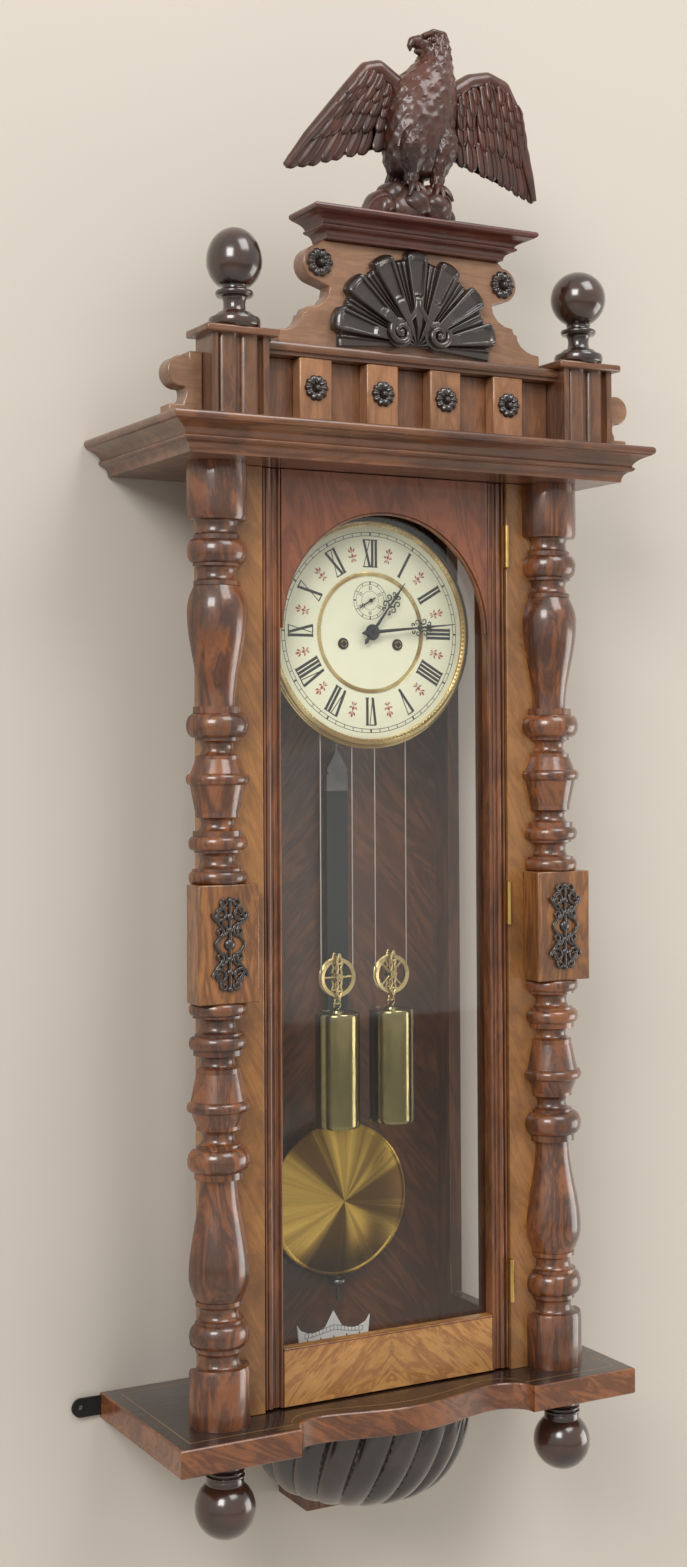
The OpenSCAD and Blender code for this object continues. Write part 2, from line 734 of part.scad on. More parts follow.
// Two strands: one up to the barrel, the other up to a fixed eye between the plates.
module line(x) {
    color("silver") at_dial() translate([x, -line_y, -pulley_drop]) {
        translate([-line_r, 0, 0]) cylinder(r = line_t, h = pulley_drop - 12);
        translate([line_r, 0, 0]) cylinder(r = line_t, h = pulley_drop - 50);
    }
}
module time_line() { line(train_x); }
module strike_line() { line(-train_x); }

// Suspension spring, hook wire, then a flat rod with a pointed metal cap and a rating nut below.
module pendulum_rod() {
    color("black") at_dial() {
        block(-5, 5, rod_y - 0.2, rod_y + 0.2, 28, pivot_rise);
        translate([0, -rod_y, -112]) cylinder(r = 1.6, h = 142);
        plate(rod_y - rod_t / 2, rod_t) polygon([[-11, -584], [11, -584], [11, -126], [0, -106], [-11, -126]]);
        translate([0, -rod_y, -606]) cylinder(r = 1.8, h = 24);
        translate([0, -rod_y, -593]) cylinder(r = 6.5, h = 7);
    }
}

module pendulum_bob() {
    color("gold") at_dial() difference() {
        turned_to_front(0, 19.5, -bob_drop) polygon([
            [0, 0], [40, 1.6], [bob_r - 3, 5.5], [bob_r, 7.4], [bob_r - 3, 9.2], [46, 14.6], [0, 17.2]
        ]);
        block(-11, 11, 0, rod_y + rod_t / 2, -bob_drop - 100, -bob_drop + 100);
    }
}

back_board();
hanger_plate();
case_boards();
case_sides();
side_glasses();
front_boards();
cornice();
columns();
column_blocks();
block_ornaments();
shelf();
gadroon_boss();
corbel_block();
drop_finials();
steady_brackets();
frieze_board();
frieze_blocks();
frieze_rail();
rosettes();
pedestals();
pedestal_caps();
ball_finials();
side_ears();
crest_board();
crest_shell();
crest_cap();
eagle_body();
eagle_wing_left();
eagle_wing_right();
movement_frame();
movement_bracket();
suspension_bracket();
dial_plate();
dial_rings();
gong();
beat_scale();
door_stiles();
door_top_panel();
door_bottom_rail();
door_glass();
door_hinges();
minute_hand();
centre_wheel();
hour_hand();
seconds_hand();
escape_wheel();
time_barrel();
strike_barrel();
anchor();
hammer();
time_weight();
strike_weight();
time_stirrup();
strike_stirrup();
time_pulley();
strike_pulley();
time_line();
strike_line();
pendulum_rod();
pendulum_bob();
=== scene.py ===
# A two-weight wall clock: walnut case, glazed door, turned half columns, carved crest and eagle.
# Metres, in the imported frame: X to the right, the front faces -Y, Z up, the wall at Y = 0.
import math
import bmesh
import bpy
import numpy as np
from mathutils import Matrix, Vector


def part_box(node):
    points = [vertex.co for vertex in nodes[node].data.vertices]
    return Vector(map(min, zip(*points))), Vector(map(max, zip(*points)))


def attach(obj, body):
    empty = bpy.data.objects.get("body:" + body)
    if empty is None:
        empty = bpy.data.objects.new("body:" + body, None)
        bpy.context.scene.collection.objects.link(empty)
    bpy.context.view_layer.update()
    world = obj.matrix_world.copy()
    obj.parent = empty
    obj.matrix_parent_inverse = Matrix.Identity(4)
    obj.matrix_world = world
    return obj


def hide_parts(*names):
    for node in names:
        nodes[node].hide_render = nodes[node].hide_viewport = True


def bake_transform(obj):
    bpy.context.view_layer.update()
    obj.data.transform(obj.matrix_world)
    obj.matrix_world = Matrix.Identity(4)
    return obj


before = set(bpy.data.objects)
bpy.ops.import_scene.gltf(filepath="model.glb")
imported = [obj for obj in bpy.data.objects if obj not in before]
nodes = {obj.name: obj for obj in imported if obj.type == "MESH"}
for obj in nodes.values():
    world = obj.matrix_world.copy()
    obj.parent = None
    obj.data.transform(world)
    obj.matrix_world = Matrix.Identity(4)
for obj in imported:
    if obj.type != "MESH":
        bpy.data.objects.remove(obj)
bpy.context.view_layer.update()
MM = 0.001
DIAL_Z = -0.1


# --- Camera, room and lamps -------------------------------------------------------------------
# The clock hangs on a pale plain wall over a pale floor, seen from its left at dial height.
# The wall is one-sided, so that the back of the case can be looked at from behind.
def tone(red, green, blue):
    """A display colour, 0 to 255 a channel, as the linear RGBA that shaders take."""
    c = np.array([red, green, blue]) / 255.0
    lin = np.where(c <= 0.04045, c / 12.92, ((c + 0.055) / 1.055) ** 2.4)
    return (*[float(v) for v in lin], 1.0)


eye = (-0.888, -1.6436, -0.2013)
yaw = math.radians(28.24)
pitch = math.radians(1.364)
roll = math.radians(-0.246)
camera = bpy.data.objects.new("camera", bpy.data.cameras.new("camera"))
camera.data.lens = 46.2
camera.data.sensor_width = 36.0
camera.data.shift_x = 0.0162
camera.data.shift_y = -0.0542
camera.matrix_world = (
    Matrix.Translation(eye) @ Matrix.Rotation(-yaw, 4, "Z")
    @ Matrix.Rotation(math.pi / 2 + pitch, 4, "X") @ Matrix.Rotation(roll, 4, "Z")
)
bpy.context.scene.collection.objects.link(camera)
bpy.context.scene.camera = camera
bpy.context.scene.view_settings.view_transform = "Standard"


def lamp(name, place, aim, size, watts, colour=(1.0, 1.0, 1.0)):
    """A square area lamp at place, turned towards aim."""
    data = bpy.data.lights.new(name, "AREA")
    data.size = size
    data.energy = watts
    data.color = colour
    obj = bpy.data.objects.new(name, data)
    obj.location = place
    direction = np.array(aim) - np.array(place)
    flat = math.hypot(direction[0], direction[1])
    obj.rotation_euler = (
        math.pi / 2 + math.atan2(direction[2], flat), 0.0, math.atan2(-direction[0], direction[1])
    )
    bpy.context.scene.collection.objects.link(obj)


lamp("window_left", (-2.1, -2.2, 1.3), (0.0, 0.0, -0.3), 1.3, 62.0, (1.0, 0.985, 0.96))
lamp("ceiling_front", (0.7, -2.0, 2.2), (0.0, 0.0, -0.2), 1.6, 44.0)
lamp("low_fill", (2.3, -0.9, -0.8), (0.0, 0.0, -0.4), 1.3, 20.0, (1.0, 0.97, 0.93))


class Shader:
    """A node tree under construction: add() places a node, join() links two sockets."""

    def __init__(self, tree):
        self.tree = tree

    def add(self, kind, **values):
        made = self.tree.nodes.new(kind)
        for key, value in values.items():
            if key in made.bl_rna.properties:
                setattr(made, key, value)
            else:
                made.inputs[key.replace("_", " ")].default_value = value
        return made

    def join(self, source, target):
        self.tree.links.new(source, target)


def new_material(name):
    """An empty node material: its Shader, its Principled BSDF and the material."""
    mat = bpy.data.materials.new(name)
    mat.use_nodes = True
    tree = mat.node_tree
    return Shader(tree), tree.nodes["Principled BSDF"], mat


def room_material(name, colour, one_sided):
    """Flat pale paint. A one-sided wall can be looked through from behind."""
    sh, bsdf, mat = new_material(name)
    out = sh.tree.nodes["Material Output"]
    bsdf.inputs["Base Color"].default_value = colour
    bsdf.inputs["Roughness"].default_value = 0.9
    bsdf.inputs["Specular IOR Level"].default_value = 0.1
    if one_sided:
        clear = sh.add("ShaderNodeBsdfTransparent")
        side = sh.add("ShaderNodeNewGeometry")
        mix = sh.add("ShaderNodeMixShader")
        sh.join(side.outputs["Backfacing"], mix.inputs[0])
        sh.join(bsdf.outputs[0], mix.inputs[1])
        sh.join(clear.outputs[0], mix.inputs[2])
        sh.join(mix.outputs[0], out.inputs[0])
    return mat


def stage_plane(name, corners, material):
    """One quad of the room, which isn't part of the clock."""
    mesh = bpy.data.meshes.new(name)
    mesh.from_pydata(corners, [], [(0, 1, 2, 3)])
    mesh.materials.append(material)
    obj = bpy.data.objects.new(name, mesh)
    bpy.context.scene.collection.objects.link(obj)
    return obj


floor_z = -1.35
reach = 6.0
wall = stage_plane(
    "wall", [(-reach, 0.0015, floor_z), (reach, 0.0015, floor_z), (reach, 0.0015, 4.0), (-reach, 0.0015, 4.0)],
    room_material("wall_paint", tone(206, 198, 188), True),
)
# The wall takes shadows but throws none, so that the air behind it lights the back of the case.
wall.visible_diffuse = False
wall.visible_shadow = False
stage_plane(
    "floor", [(-reach, -reach, floor_z), (reach, -reach, floor_z), (reach, reach, floor_z), (-reach, reach, floor_z)],
    room_material("floor_paint", tone(214, 210, 204), False),
)
world = bpy.data.worlds.new("room_light")
bpy.context.scene.world = world
world.use_nodes = True
air = Shader(world.node_tree)
sky = world.node_tree.nodes["Background"]
sky.inputs["Color"].default_value = (1.0, 0.985, 0.965, 1.0)
sky.inputs["Strength"].default_value = 0.42
seen = air.add("ShaderNodeBackground", Color=tone(226, 223, 218), Strength=1.0)
path = air.add("ShaderNodeLightPath")
pick = air.add("ShaderNodeMixShader")
mirrored = air.add("ShaderNodeMath", operation="MAXIMUM")
looked_at = air.add("ShaderNodeMath", operation="MAXIMUM")
air.join(path.outputs["Is Glossy Ray"], mirrored.inputs[0])
air.join(path.outputs["Is Transmission Ray"], mirrored.inputs[1])
air.join(path.outputs["Is Camera Ray"], looked_at.inputs[0])
air.join(mirrored.outputs[0], looked_at.inputs[1])
air.join(looked_at.outputs[0], pick.inputs[0])
air.join(sky.outputs[0], pick.inputs[1])
air.join(seen.outputs[0], pick.inputs[2])
air.join(pick.outputs[0], world.node_tree.nodes["World Output"].inputs[0])


# --- Case: back board, sides, front boards, inner boards --------------------------------------
# Walnut boards, veneered and varnished. The back board shows a dark chevron figure through the
# door, the front boards beside the door have pale, slanting grain, and the sides are glazed.
def group(name, ins, outs):
    """A shader node group with the named sockets: its Shader, its input and its output node."""
    tree = bpy.data.node_groups.new(name, "ShaderNodeTree")
    for label, kind in ins:
        tree.interface.new_socket(label, in_out="INPUT", socket_type=kind)
    for label, kind in outs:
        tree.interface.new_socket(label, in_out="OUTPUT", socket_type=kind)
    sh = Shader(tree)
    return sh, sh.add("NodeGroupInput"), sh.add("NodeGroupOutput"), tree


def grain_group():
    """Wood whose fibres run along X of Vector, in metres.

    Bands come from a wave bent by slow noise, fibres and short dark pores from noise stretched
    24 to 1 along X. Figure says how strongly the bands show.
    """
    sh, g_in, g_out, tree = group(
        "grain",
        [("Vector", "NodeSocketVector"), ("Light", "NodeSocketColor"), ("Dark", "NodeSocketColor"),
         ("Figure", "NodeSocketFloat"), ("Scale", "NodeSocketFloat")],
        [("Color", "NodeSocketColor"), ("Height", "NodeSocketFloat"), ("Roughness", "NodeSocketFloat")],
    )
    sized = sh.add("ShaderNodeVectorMath", operation="SCALE")
    sh.join(g_in.outputs["Vector"], sized.inputs[0])
    sh.join(g_in.outputs["Scale"], sized.inputs["Scale"])
    slow = sh.add("ShaderNodeMapping", vector_type="POINT", Scale=(5.0, 26.0, 26.0))
    fast = sh.add("ShaderNodeMapping", vector_type="POINT", Scale=(40.0, 900.0, 900.0))
    sh.join(sized.outputs[0], slow.inputs[0])
    sh.join(sized.outputs[0], fast.inputs[0])
    bands = sh.add("ShaderNodeTexNoise", Scale=1.0, Detail=5.0, Roughness=0.62, Distortion=1.4)
    fibre = sh.add("ShaderNodeTexNoise", Scale=1.0, Detail=4.0, Roughness=0.7)
    sh.join(slow.outputs[0], bands.inputs["Vector"])
    sh.join(fast.outputs[0], fibre.inputs["Vector"])
    ripple = sh.add("ShaderNodeMath", operation="MULTIPLY")
    ripple.inputs[1].default_value = 26.0
    sine = sh.add("ShaderNodeMath", operation="SINE")
    sh.join(bands.outputs[0], ripple.inputs[0])
    sh.join(ripple.outputs[0], sine.inputs[0])
    band_mask = sh.add("ShaderNodeMapRange", From_Min=-1.0, From_Max=1.0, To_Min=0.0, To_Max=1.0)
    sh.join(sine.outputs[0], band_mask.inputs["Value"])
    shown = sh.add("ShaderNodeMath", operation="MULTIPLY")
    sh.join(band_mask.outputs[0], shown.inputs[0])
    sh.join(g_in.outputs["Figure"], shown.inputs[1])
    total = sh.add("ShaderNodeMath", operation="MULTIPLY_ADD")
    total.inputs[1].default_value = 0.55
    sh.join(fibre.outputs[0], total.inputs[0])
    sh.join(shown.outputs[0], total.inputs[2])
    body = sh.add("ShaderNodeMix", data_type="RGBA")
    sh.join(total.outputs[0], body.inputs[0])
    sh.join(g_in.outputs["Light"], body.inputs[6])
    sh.join(g_in.outputs["Dark"], body.inputs[7])
    pore = sh.add("ShaderNodeMapRange", From_Min=0.60, From_Max=0.70, To_Min=1.0, To_Max=0.62)
    sh.join(fibre.outputs[0], pore.inputs["Value"])
    inked = sh.add("ShaderNodeMix", data_type="RGBA", blend_type="MULTIPLY")
    inked.inputs[0].default_value = 1.0
    sh.join(body.outputs[2], inked.inputs[6])
    sh.join(pore.outputs[0], inked.inputs[7])
    rough = sh.add("ShaderNodeMapRange", From_Min=0.3, From_Max=0.75, To_Min=0.24, To_Max=0.42)
    sh.join(fibre.outputs[0], rough.inputs["Value"])
    sh.join(inked.outputs[2], g_out.inputs["Color"])
    sh.join(pore.outputs[0], g_out.inputs["Height"])
    sh.join(rough.outputs[0], g_out.inputs["Roughness"])
    return tree


def age_group():
    """Grime and handling on old varnish: slow blotches darken the colour and dull the gloss."""
    sh, g_in, g_out, tree = group(
        "age",
        [("Color", "NodeSocketColor"), ("Roughness", "NodeSocketFloat"), ("Amount", "NodeSocketFloat")],
        [("Color", "NodeSocketColor"), ("Roughness", "NodeSocketFloat")],
    )
    at = sh.add("ShaderNodeTexCoord")
    blot = sh.add("ShaderNodeTexNoise", Scale=14.0, Detail=6.0, Roughness=0.6)
    sh.join(at.outputs["Object"], blot.inputs["Vector"])
    mask = sh.add("ShaderNodeMapRange", From_Min=0.42, From_Max=0.68, To_Min=0.0, To_Max=1.0)
    sh.join(blot.outputs[0], mask.inputs["Value"])
    held = sh.add("ShaderNodeMath", operation="MULTIPLY")
    sh.join(mask.outputs[0], held.inputs[0])
    sh.join(g_in.outputs["Amount"], held.inputs[1])
    dirt = sh.add("ShaderNodeMix", data_type="RGBA", blend_type="MULTIPLY")
    dirt.inputs[7].default_value = tone(120, 98, 84)
    sh.join(held.outputs[0], dirt.inputs[0])
    sh.join(g_in.outputs["Color"], dirt.inputs[6])
    dull = sh.add("ShaderNodeMath", operation="MULTIPLY_ADD")
    dull.inputs[1].default_value = 0.18
    sh.join(held.outputs[0], dull.inputs[0])
    sh.join(g_in.outputs["Roughness"], dull.inputs[2])
    sh.join(dirt.outputs[2], g_out.inputs["Color"])
    sh.join(dull.outputs[0], g_out.inputs["Roughness"])
    return tree


grain = grain_group()
age = age_group()


def wood(name, light, dark, turn=(0.0, 0.0, 0.0), figure=0.5, scale=1.0, coat=0.5, amount=0.5, matched=None):
    """Varnished wood on Object coordinates. turn, in degrees, lays its fibres along X turned so.

    matched is None, or "x" for veneer mirrored about the middle of the clock.
    """
    sh, bsdf, mat = new_material(name)
    at = sh.add("ShaderNodeTexCoord")
    laid = sh.add("ShaderNodeMapping", vector_type="TEXTURE")
    laid.inputs["Rotation"].default_value = [math.radians(a) for a in turn]
    place = at.outputs["Object"]
    if matched:
        parts = sh.add("ShaderNodeSeparateXYZ")
        fold = sh.add("ShaderNodeMath", operation="ABSOLUTE")
        back = sh.add("ShaderNodeCombineXYZ")
        sh.join(place, parts.inputs[0])
        sh.join(parts.outputs[0], fold.inputs[0])
        sh.join(fold.outputs[0], back.inputs[0])
        sh.join(parts.outputs[1], back.inputs[1])
        sh.join(parts.outputs[2], back.inputs[2])
        place = back.outputs[0]
    sh.join(place, laid.inputs[0])
    fig = sh.add("ShaderNodeGroup", node_tree=grain)
    fig.inputs["Light"].default_value = light
    fig.inputs["Dark"].default_value = dark
    fig.inputs["Figure"].default_value = figure
    fig.inputs["Scale"].default_value = scale
    sh.join(laid.outputs[0], fig.inputs["Vector"])
    old = sh.add("ShaderNodeGroup", node_tree=age)
    old.inputs["Amount"].default_value = amount
    sh.join(fig.outputs["Color"], old.inputs["Color"])
    sh.join(fig.outputs["Roughness"], old.inputs["Roughness"])
    sh.join(old.outputs["Color"], bsdf.inputs["Base Color"])
    sh.join(old.outputs["Roughness"], bsdf.inputs["Roughness"])
    bump = sh.add("ShaderNodeBump", Strength=0.25, Distance=0.0002)
    sh.join(fig.outputs["Height"], bump.inputs["Height"])
    sh.join(bump.outputs[0], bsdf.inputs["Normal"])
    bsdf.inputs["Coat Weight"].default_value = coat
    bsdf.inputs["Coat Roughness"].default_value = 0.12
    return mat


def build(name, parts, material, body, stands_for=(), sharp=35.0, keep_normals=False):
    """One piece from (points, faces) parts: merged, facing outwards, smooth below the sharp angle.

    body is None for a piece that runs between two bodies and so rides on neither.
    """
    bm = bmesh.new()
    for points, faces in parts:
        mesh = bpy.data.meshes.new(name)
        mesh.from_pydata([tuple(p) for p in np.asarray(points, float).reshape(-1, 3)], [], faces)
        bm.from_mesh(mesh)
        bpy.data.meshes.remove(mesh)
    bmesh.ops.remove_doubles(bm, verts=bm.verts, dist=0.00002)
    bmesh.ops.dissolve_degenerate(bm, edges=bm.edges, dist=0.00001)
    if not keep_normals:
        bmesh.ops.recalc_face_normals(bm, faces=bm.faces)
    mesh = bpy.data.meshes.new(name)
    bm.to_mesh(mesh)
    bm.free()
    mesh.polygons.foreach_set("use_smooth", np.ones(len(mesh.polygons), bool))
    mesh.set_sharp_from_angle(angle=math.radians(sharp))
    mesh.materials.append(material)
    obj = bpy.data.objects.new(name, mesh)
    bpy.context.scene.collection.objects.link(obj)
    if body:
        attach(obj, body)
    if stands_for:
        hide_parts(*stands_for)
    return obj


def eased(node, material, width=0.0008, body="case"):
    """A CAD node's own shape with its corners eased: merged, flats joined, edges bevelled."""
    source = nodes[node]
    bm = bmesh.new()
    bm.from_mesh(source.data)
    bmesh.ops.remove_doubles(bm, verts=bm.verts, dist=0.00001)
    bmesh.ops.dissolve_limit(bm, angle_limit=math.radians(1.0), verts=bm.verts, edges=bm.edges)
    mesh = bpy.data.meshes.new(node + "_eased")
    bm.to_mesh(mesh)
    bm.free()
    mesh.polygons.foreach_set("use_smooth", np.ones(len(mesh.polygons), bool))
    mesh.set_sharp_from_angle(angle=math.radians(30.0))
    mesh.materials.clear()
    mesh.materials.append(material)
    obj = bpy.data.objects.new(node + "_eased", mesh)
    bpy.context.scene.collection.objects.link(obj)
    bevel = obj.modifiers.new("ease", "BEVEL")
    bevel.width = width
    bevel.segments = 2
    bevel.limit_method = "ANGLE"
    bevel.angle_limit = math.radians(40.0)
    bevel.harden_normals = False
    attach(obj, body)
    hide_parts(node)
    return obj


def finish_node(node, material):
    """Gives a CAD node, whose shape stays, its material."""
    mesh = nodes[node].data
    mesh.materials.clear()
    mesh.materials.append(material)


chevron = wood("chevron_veneer", tone(124, 74, 42), tone(58, 32, 18), (0, 52, 0), 0.5, 1.6, 0.2, 0.5, "x")
case_wood = wood("case_walnut", tone(112, 68, 38), tone(52, 28, 15), (0, 90, 0), 0.5, 1.0, 0.4)
board_wood = wood("pale_slanting_veneer", tone(176, 122, 66), tone(112, 70, 34), (0, 62, 0), 0.3, 1.8, 0.6, 0.6)
eased("back_board", chevron)
for node in ("case_boards", "case_sides"):
    eased(node, case_wood)
eased("front_boards", board_wood)


# --- Half columns and their blocks -------------------------------------------------------------
# Split turnings in dark varnished walnut, glued to the front boards above and below a square
# block; the lower half is the upper one turned end for end.
def turned_members(members):
    """(radius, length) points, in mm, along members [kind, length, end radius, middle radius, ...].

    Beads and coves are half ellipses between their ends; a vase swells in a quarter sine to 0.21
    of its length and then falls in half a cosine; a line is straight.
    """
    points = []
    start = 0.0
    for kind, length, *r in members:
        steps = {"line": 2, "vase": 26}.get(kind, 11)
        t = (1 - np.cos(np.linspace(0, math.pi, steps))) / 2
        if kind == "line":
            radius = r[0] + (r[1] - r[0]) * t
        elif kind == "vase":
            up = r[0] + (r[1] - r[0]) * np.sin(np.minimum(t / 0.21, 1.0) * math.pi / 2)
            down = r[2] + (r[1] - r[2]) * (1 + np.cos(np.clip((t - 0.21) / 0.79, 0, 1) * math.pi)) / 2
            radius = np.where(t < 0.21, up, down)
        else:
            radius = r[0] + (r[1] - r[0]) * np.sqrt(np.maximum(0.0, 1 - (2 * t - 1) ** 2))
        points.append(np.stack([radius, start + t * length], axis=1))
        start += length
    return np.concatenate(points)


def grid_faces(rows, columns, wrap_rows=False, wrap_columns=False):
    """Quads of a rows by columns grid of points, joined round where a direction wraps."""
    i, j = np.meshgrid(
        np.arange(rows if wrap_rows else rows - 1), np.arange(columns if wrap_columns else columns - 1),
        indexing="ij",
    )
    a = i * columns + j
    b = i * columns + (j + 1) % columns
    c = ((i + 1) % rows) * columns + (j + 1) % columns
    d = ((i + 1) % rows) * columns + j
    return np.stack([a, b, c, d], axis=-1).reshape(-1, 4).tolist()


def lathe(outline, around=72, first=0.0, last=360.0):
    """(points, faces) of radius-height points spun about Z from first to last degrees."""
    whole = abs(last - first) >= 359.999
    angle = np.radians(np.linspace(first, last, around, endpoint=not whole))
    r = outline[:, 0][:, None]
    z = np.broadcast_to(outline[:, 1][:, None], (len(outline), around))
    points = np.stack([r * np.cos(angle), r * np.sin(angle), z], axis=-1)
    faces = grid_faces(len(outline), around, wrap_columns=whole)
    points = points.reshape(-1, 3)
    if not whole:
        rim = list(range(0, len(points), around))
        far = [k + around - 1 for k in rim]
        faces = faces + [rim + far[::-1]]
    return points, faces


def closed_outline(outline):
    """The outline run in to the axis at both ends, so that a lathe of it is closed."""
    return np.concatenate([[[0.0, outline[0, 1]]], outline, [[0.0, outline[-1, 1]]]])


def moved(part, offset=(0.0, 0.0, 0.0), scale=(1.0, 1.0, 1.0)):
    """The same part scaled along the axes and then shifted."""
    return np.asarray(part[0]) * np.array(scale) + np.array(offset), part[1]


column_members = [
    ["line", 3, 26.2, 26.75], ["line", 42, 26.75, 26.75], ["line", 3, 26.75, 25.6],
    ["cove", 12.5, 20.5, 17.5], ["line", 3.5, 20.8, 20.8], ["bead", 20, 21, 26.6],
    ["line", 2.5, 21.5, 21.5], ["cove", 12, 20.5, 16.8], ["line", 3.5, 20.8, 20.8],
    ["vase", 100, 20.2, 26.8, 16.3], ["line", 5.5, 21.5, 21.5], ["bead", 20, 21, 27.8],
    ["line", 2.5, 19.5, 19.5], ["cove", 12.3, 19, 13.9], ["line", 3, 19.4, 19.4],
    ["line", 11.5, 19.5, 24], ["bead", 9.5, 24.4, 28.2], ["line", 22.5, 24.6, 19.6],
    ["line", 4, 19.4, 19.4], ["cove", 11, 19, 14.5], ["line", 4.5, 22, 22],
    ["bead", 11.4, 22.4, 26], ["line", 2, 20.8, 20.8], ["cove", 13, 20, 15.3],
    ["line", 2, 22.5, 22.5], ["bead", 10.5, 22.7, 25.9],
]
column_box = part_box("columns")
block_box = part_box("column_blocks")
ornament_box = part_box("block_ornaments")
column_x = 0.1675
column_y = column_box[1][1]
outline = turned_members(column_members)
column_parts = []
for side in (-1, 1):
    for end, foot in ((column_box[1][2], block_box[1][2]), (column_box[0][2], block_box[0][2])):
        length = abs(end - foot)
        rz = closed_outline(outline * np.array([MM, length / outline[-1, 1]]))
        half = lathe(rz, 49, 180.0, 360.0)
        column_parts.append(moved(half, (side * column_x, column_y, end), (1, 1, -1 if end > foot else 1)))
turned_wood = wood("turned_walnut", tone(152, 90, 48), tone(64, 33, 18), (0, 90, 0), 0.6, 1.3, 0.85, 0.75)
build("half_columns", column_parts, turned_wood, "case", ["columns"], 40.0)
block_wood = wood("block_veneer", tone(170, 112, 58), tone(100, 60, 28), (0, 90, 0), 0.6, 1.6, 0.7, 0.5)
eased("column_blocks", block_wood, 0.0012)


# Cast scroll plates on the blocks: an openwork cartouche of curled leaves in black metal,
# held by a pin at each end.
def tube(path, radius, around=10, closed=False):
    """(points, faces) of a round tube along path, with a radius at each point.

    Each ring stands square to the path's direction, with one side lying parallel to the wall.
    """
    path = np.asarray(path, float)
    ahead = np.roll(path, -1, axis=0) - np.roll(path, 1, axis=0)
    if not closed:
        ahead[0] = path[1] - path[0]
        ahead[-1] = path[-1] - path[-2]
    ahead /= np.linalg.norm(ahead, axis=1)[:, None]
    # Most of these curls lie flat against the case, so the wall's normal is the steady side.
    side = np.cross(ahead, np.array([0.0, 1.0, 0.0]))
    thin = np.linalg.norm(side, axis=1) < 1e-6
    side[thin] = np.array([1.0, 0.0, 0.0])
    side /= np.linalg.norm(side, axis=1)[:, None]
    up = np.cross(side, ahead)
    angle = np.linspace(0, 2 * math.pi, around, endpoint=False)
    r = np.broadcast_to(np.asarray(radius, float), (len(path),))[:, None, None]
    ring = side[:, None, :] * np.cos(angle)[None, :, None] + up[:, None, :] * np.sin(angle)[None, :, None]
    points = (path[:, None, :] + ring * r).reshape(-1, 3)
    faces = grid_faces(len(path), around, wrap_rows=closed, wrap_columns=True)
    if not closed:
        faces.append(list(range(around))[::-1])
        faces.append([len(points) - around + k for k in range(around)])
    return points, faces


def curl(centre, start_r, turns, start_angle, radius, depth, hand=1, steps=40):
    """A scroll in the wall's plane: a spiral closing on its centre, its tube tapering to a bead."""
    t = np.linspace(0, 1, steps)
    a = math.radians(start_angle) + hand * t * turns * 2 * math.pi
    r = start_r * (1 - 0.8 * t)
    path = np.stack([centre[0] + r * np.cos(a), np.full(steps, depth), centre[1] + r * np.sin(a)], axis=1)
    return tube(path, radius * (1 - 0.45 * t))


def dome(centre, radius, depth, height, rings=7, around=24):
    """A button on a plane facing -Y: an ellipsoid cap of that radius and height, closed behind."""
    a = np.linspace(0, math.pi / 2, rings)
    rz = np.stack([radius * np.cos(a), height * np.sin(a)], axis=1)
    points, faces = lathe(np.concatenate([[[0.0, 0.0]], rz]), around)
    turned = np.stack([points[:, 0], -points[:, 2], points[:, 1]], axis=1)
    return turned + np.array([centre[0], depth, centre[1]]), faces


def lacquer(name, colour, shade, roughness=0.22, coat=0.7, bump_scale=220.0, metal=0.0):
    """Dark gloss paint or lacquer on carving or casting, uneven where it has pooled and worn."""
    sh, bsdf, mat = new_material(name)
    at = sh.add("ShaderNodeTexCoord")
    pooled = sh.add("ShaderNodeTexNoise", Scale=38.0, Detail=5.0, Roughness=0.6)
    fine = sh.add("ShaderNodeTexNoise", Scale=bump_scale, Detail=4.0, Roughness=0.6)
    sh.join(at.outputs["Object"], pooled.inputs["Vector"])
    sh.join(at.outputs["Object"], fine.inputs["Vector"])
    mask = sh.add("ShaderNodeMapRange", From_Min=0.35, From_Max=0.68)
    sh.join(pooled.outputs[0], mask.inputs["Value"])
    mix = sh.add("ShaderNodeMix", data_type="RGBA")
    mix.inputs[6].default_value = colour
    mix.inputs[7].default_value = shade
    sh.join(mask.outputs[0], mix.inputs[0])
    sh.join(mix.outputs[2], bsdf.inputs["Base Color"])
    rough = sh.add("ShaderNodeMapRange", To_Min=roughness, To_Max=roughness + 0.18)
    sh.join(pooled.outputs[0], rough.inputs["Value"])
    sh.join(rough.outputs[0], bsdf.inputs["Roughness"])
    bump = sh.add("ShaderNodeBump", Strength=0.3, Distance=0.0003)
    sh.join(fine.outputs[0], bump.inputs["Height"])
    sh.join(bump.outputs[0], bsdf.inputs["Normal"])
    bsdf.inputs["Metallic"].default_value = metal
    bsdf.inputs["Coat Weight"].default_value = coat
    bsdf.inputs["Coat Roughness"].default_value = 0.15
    return mat


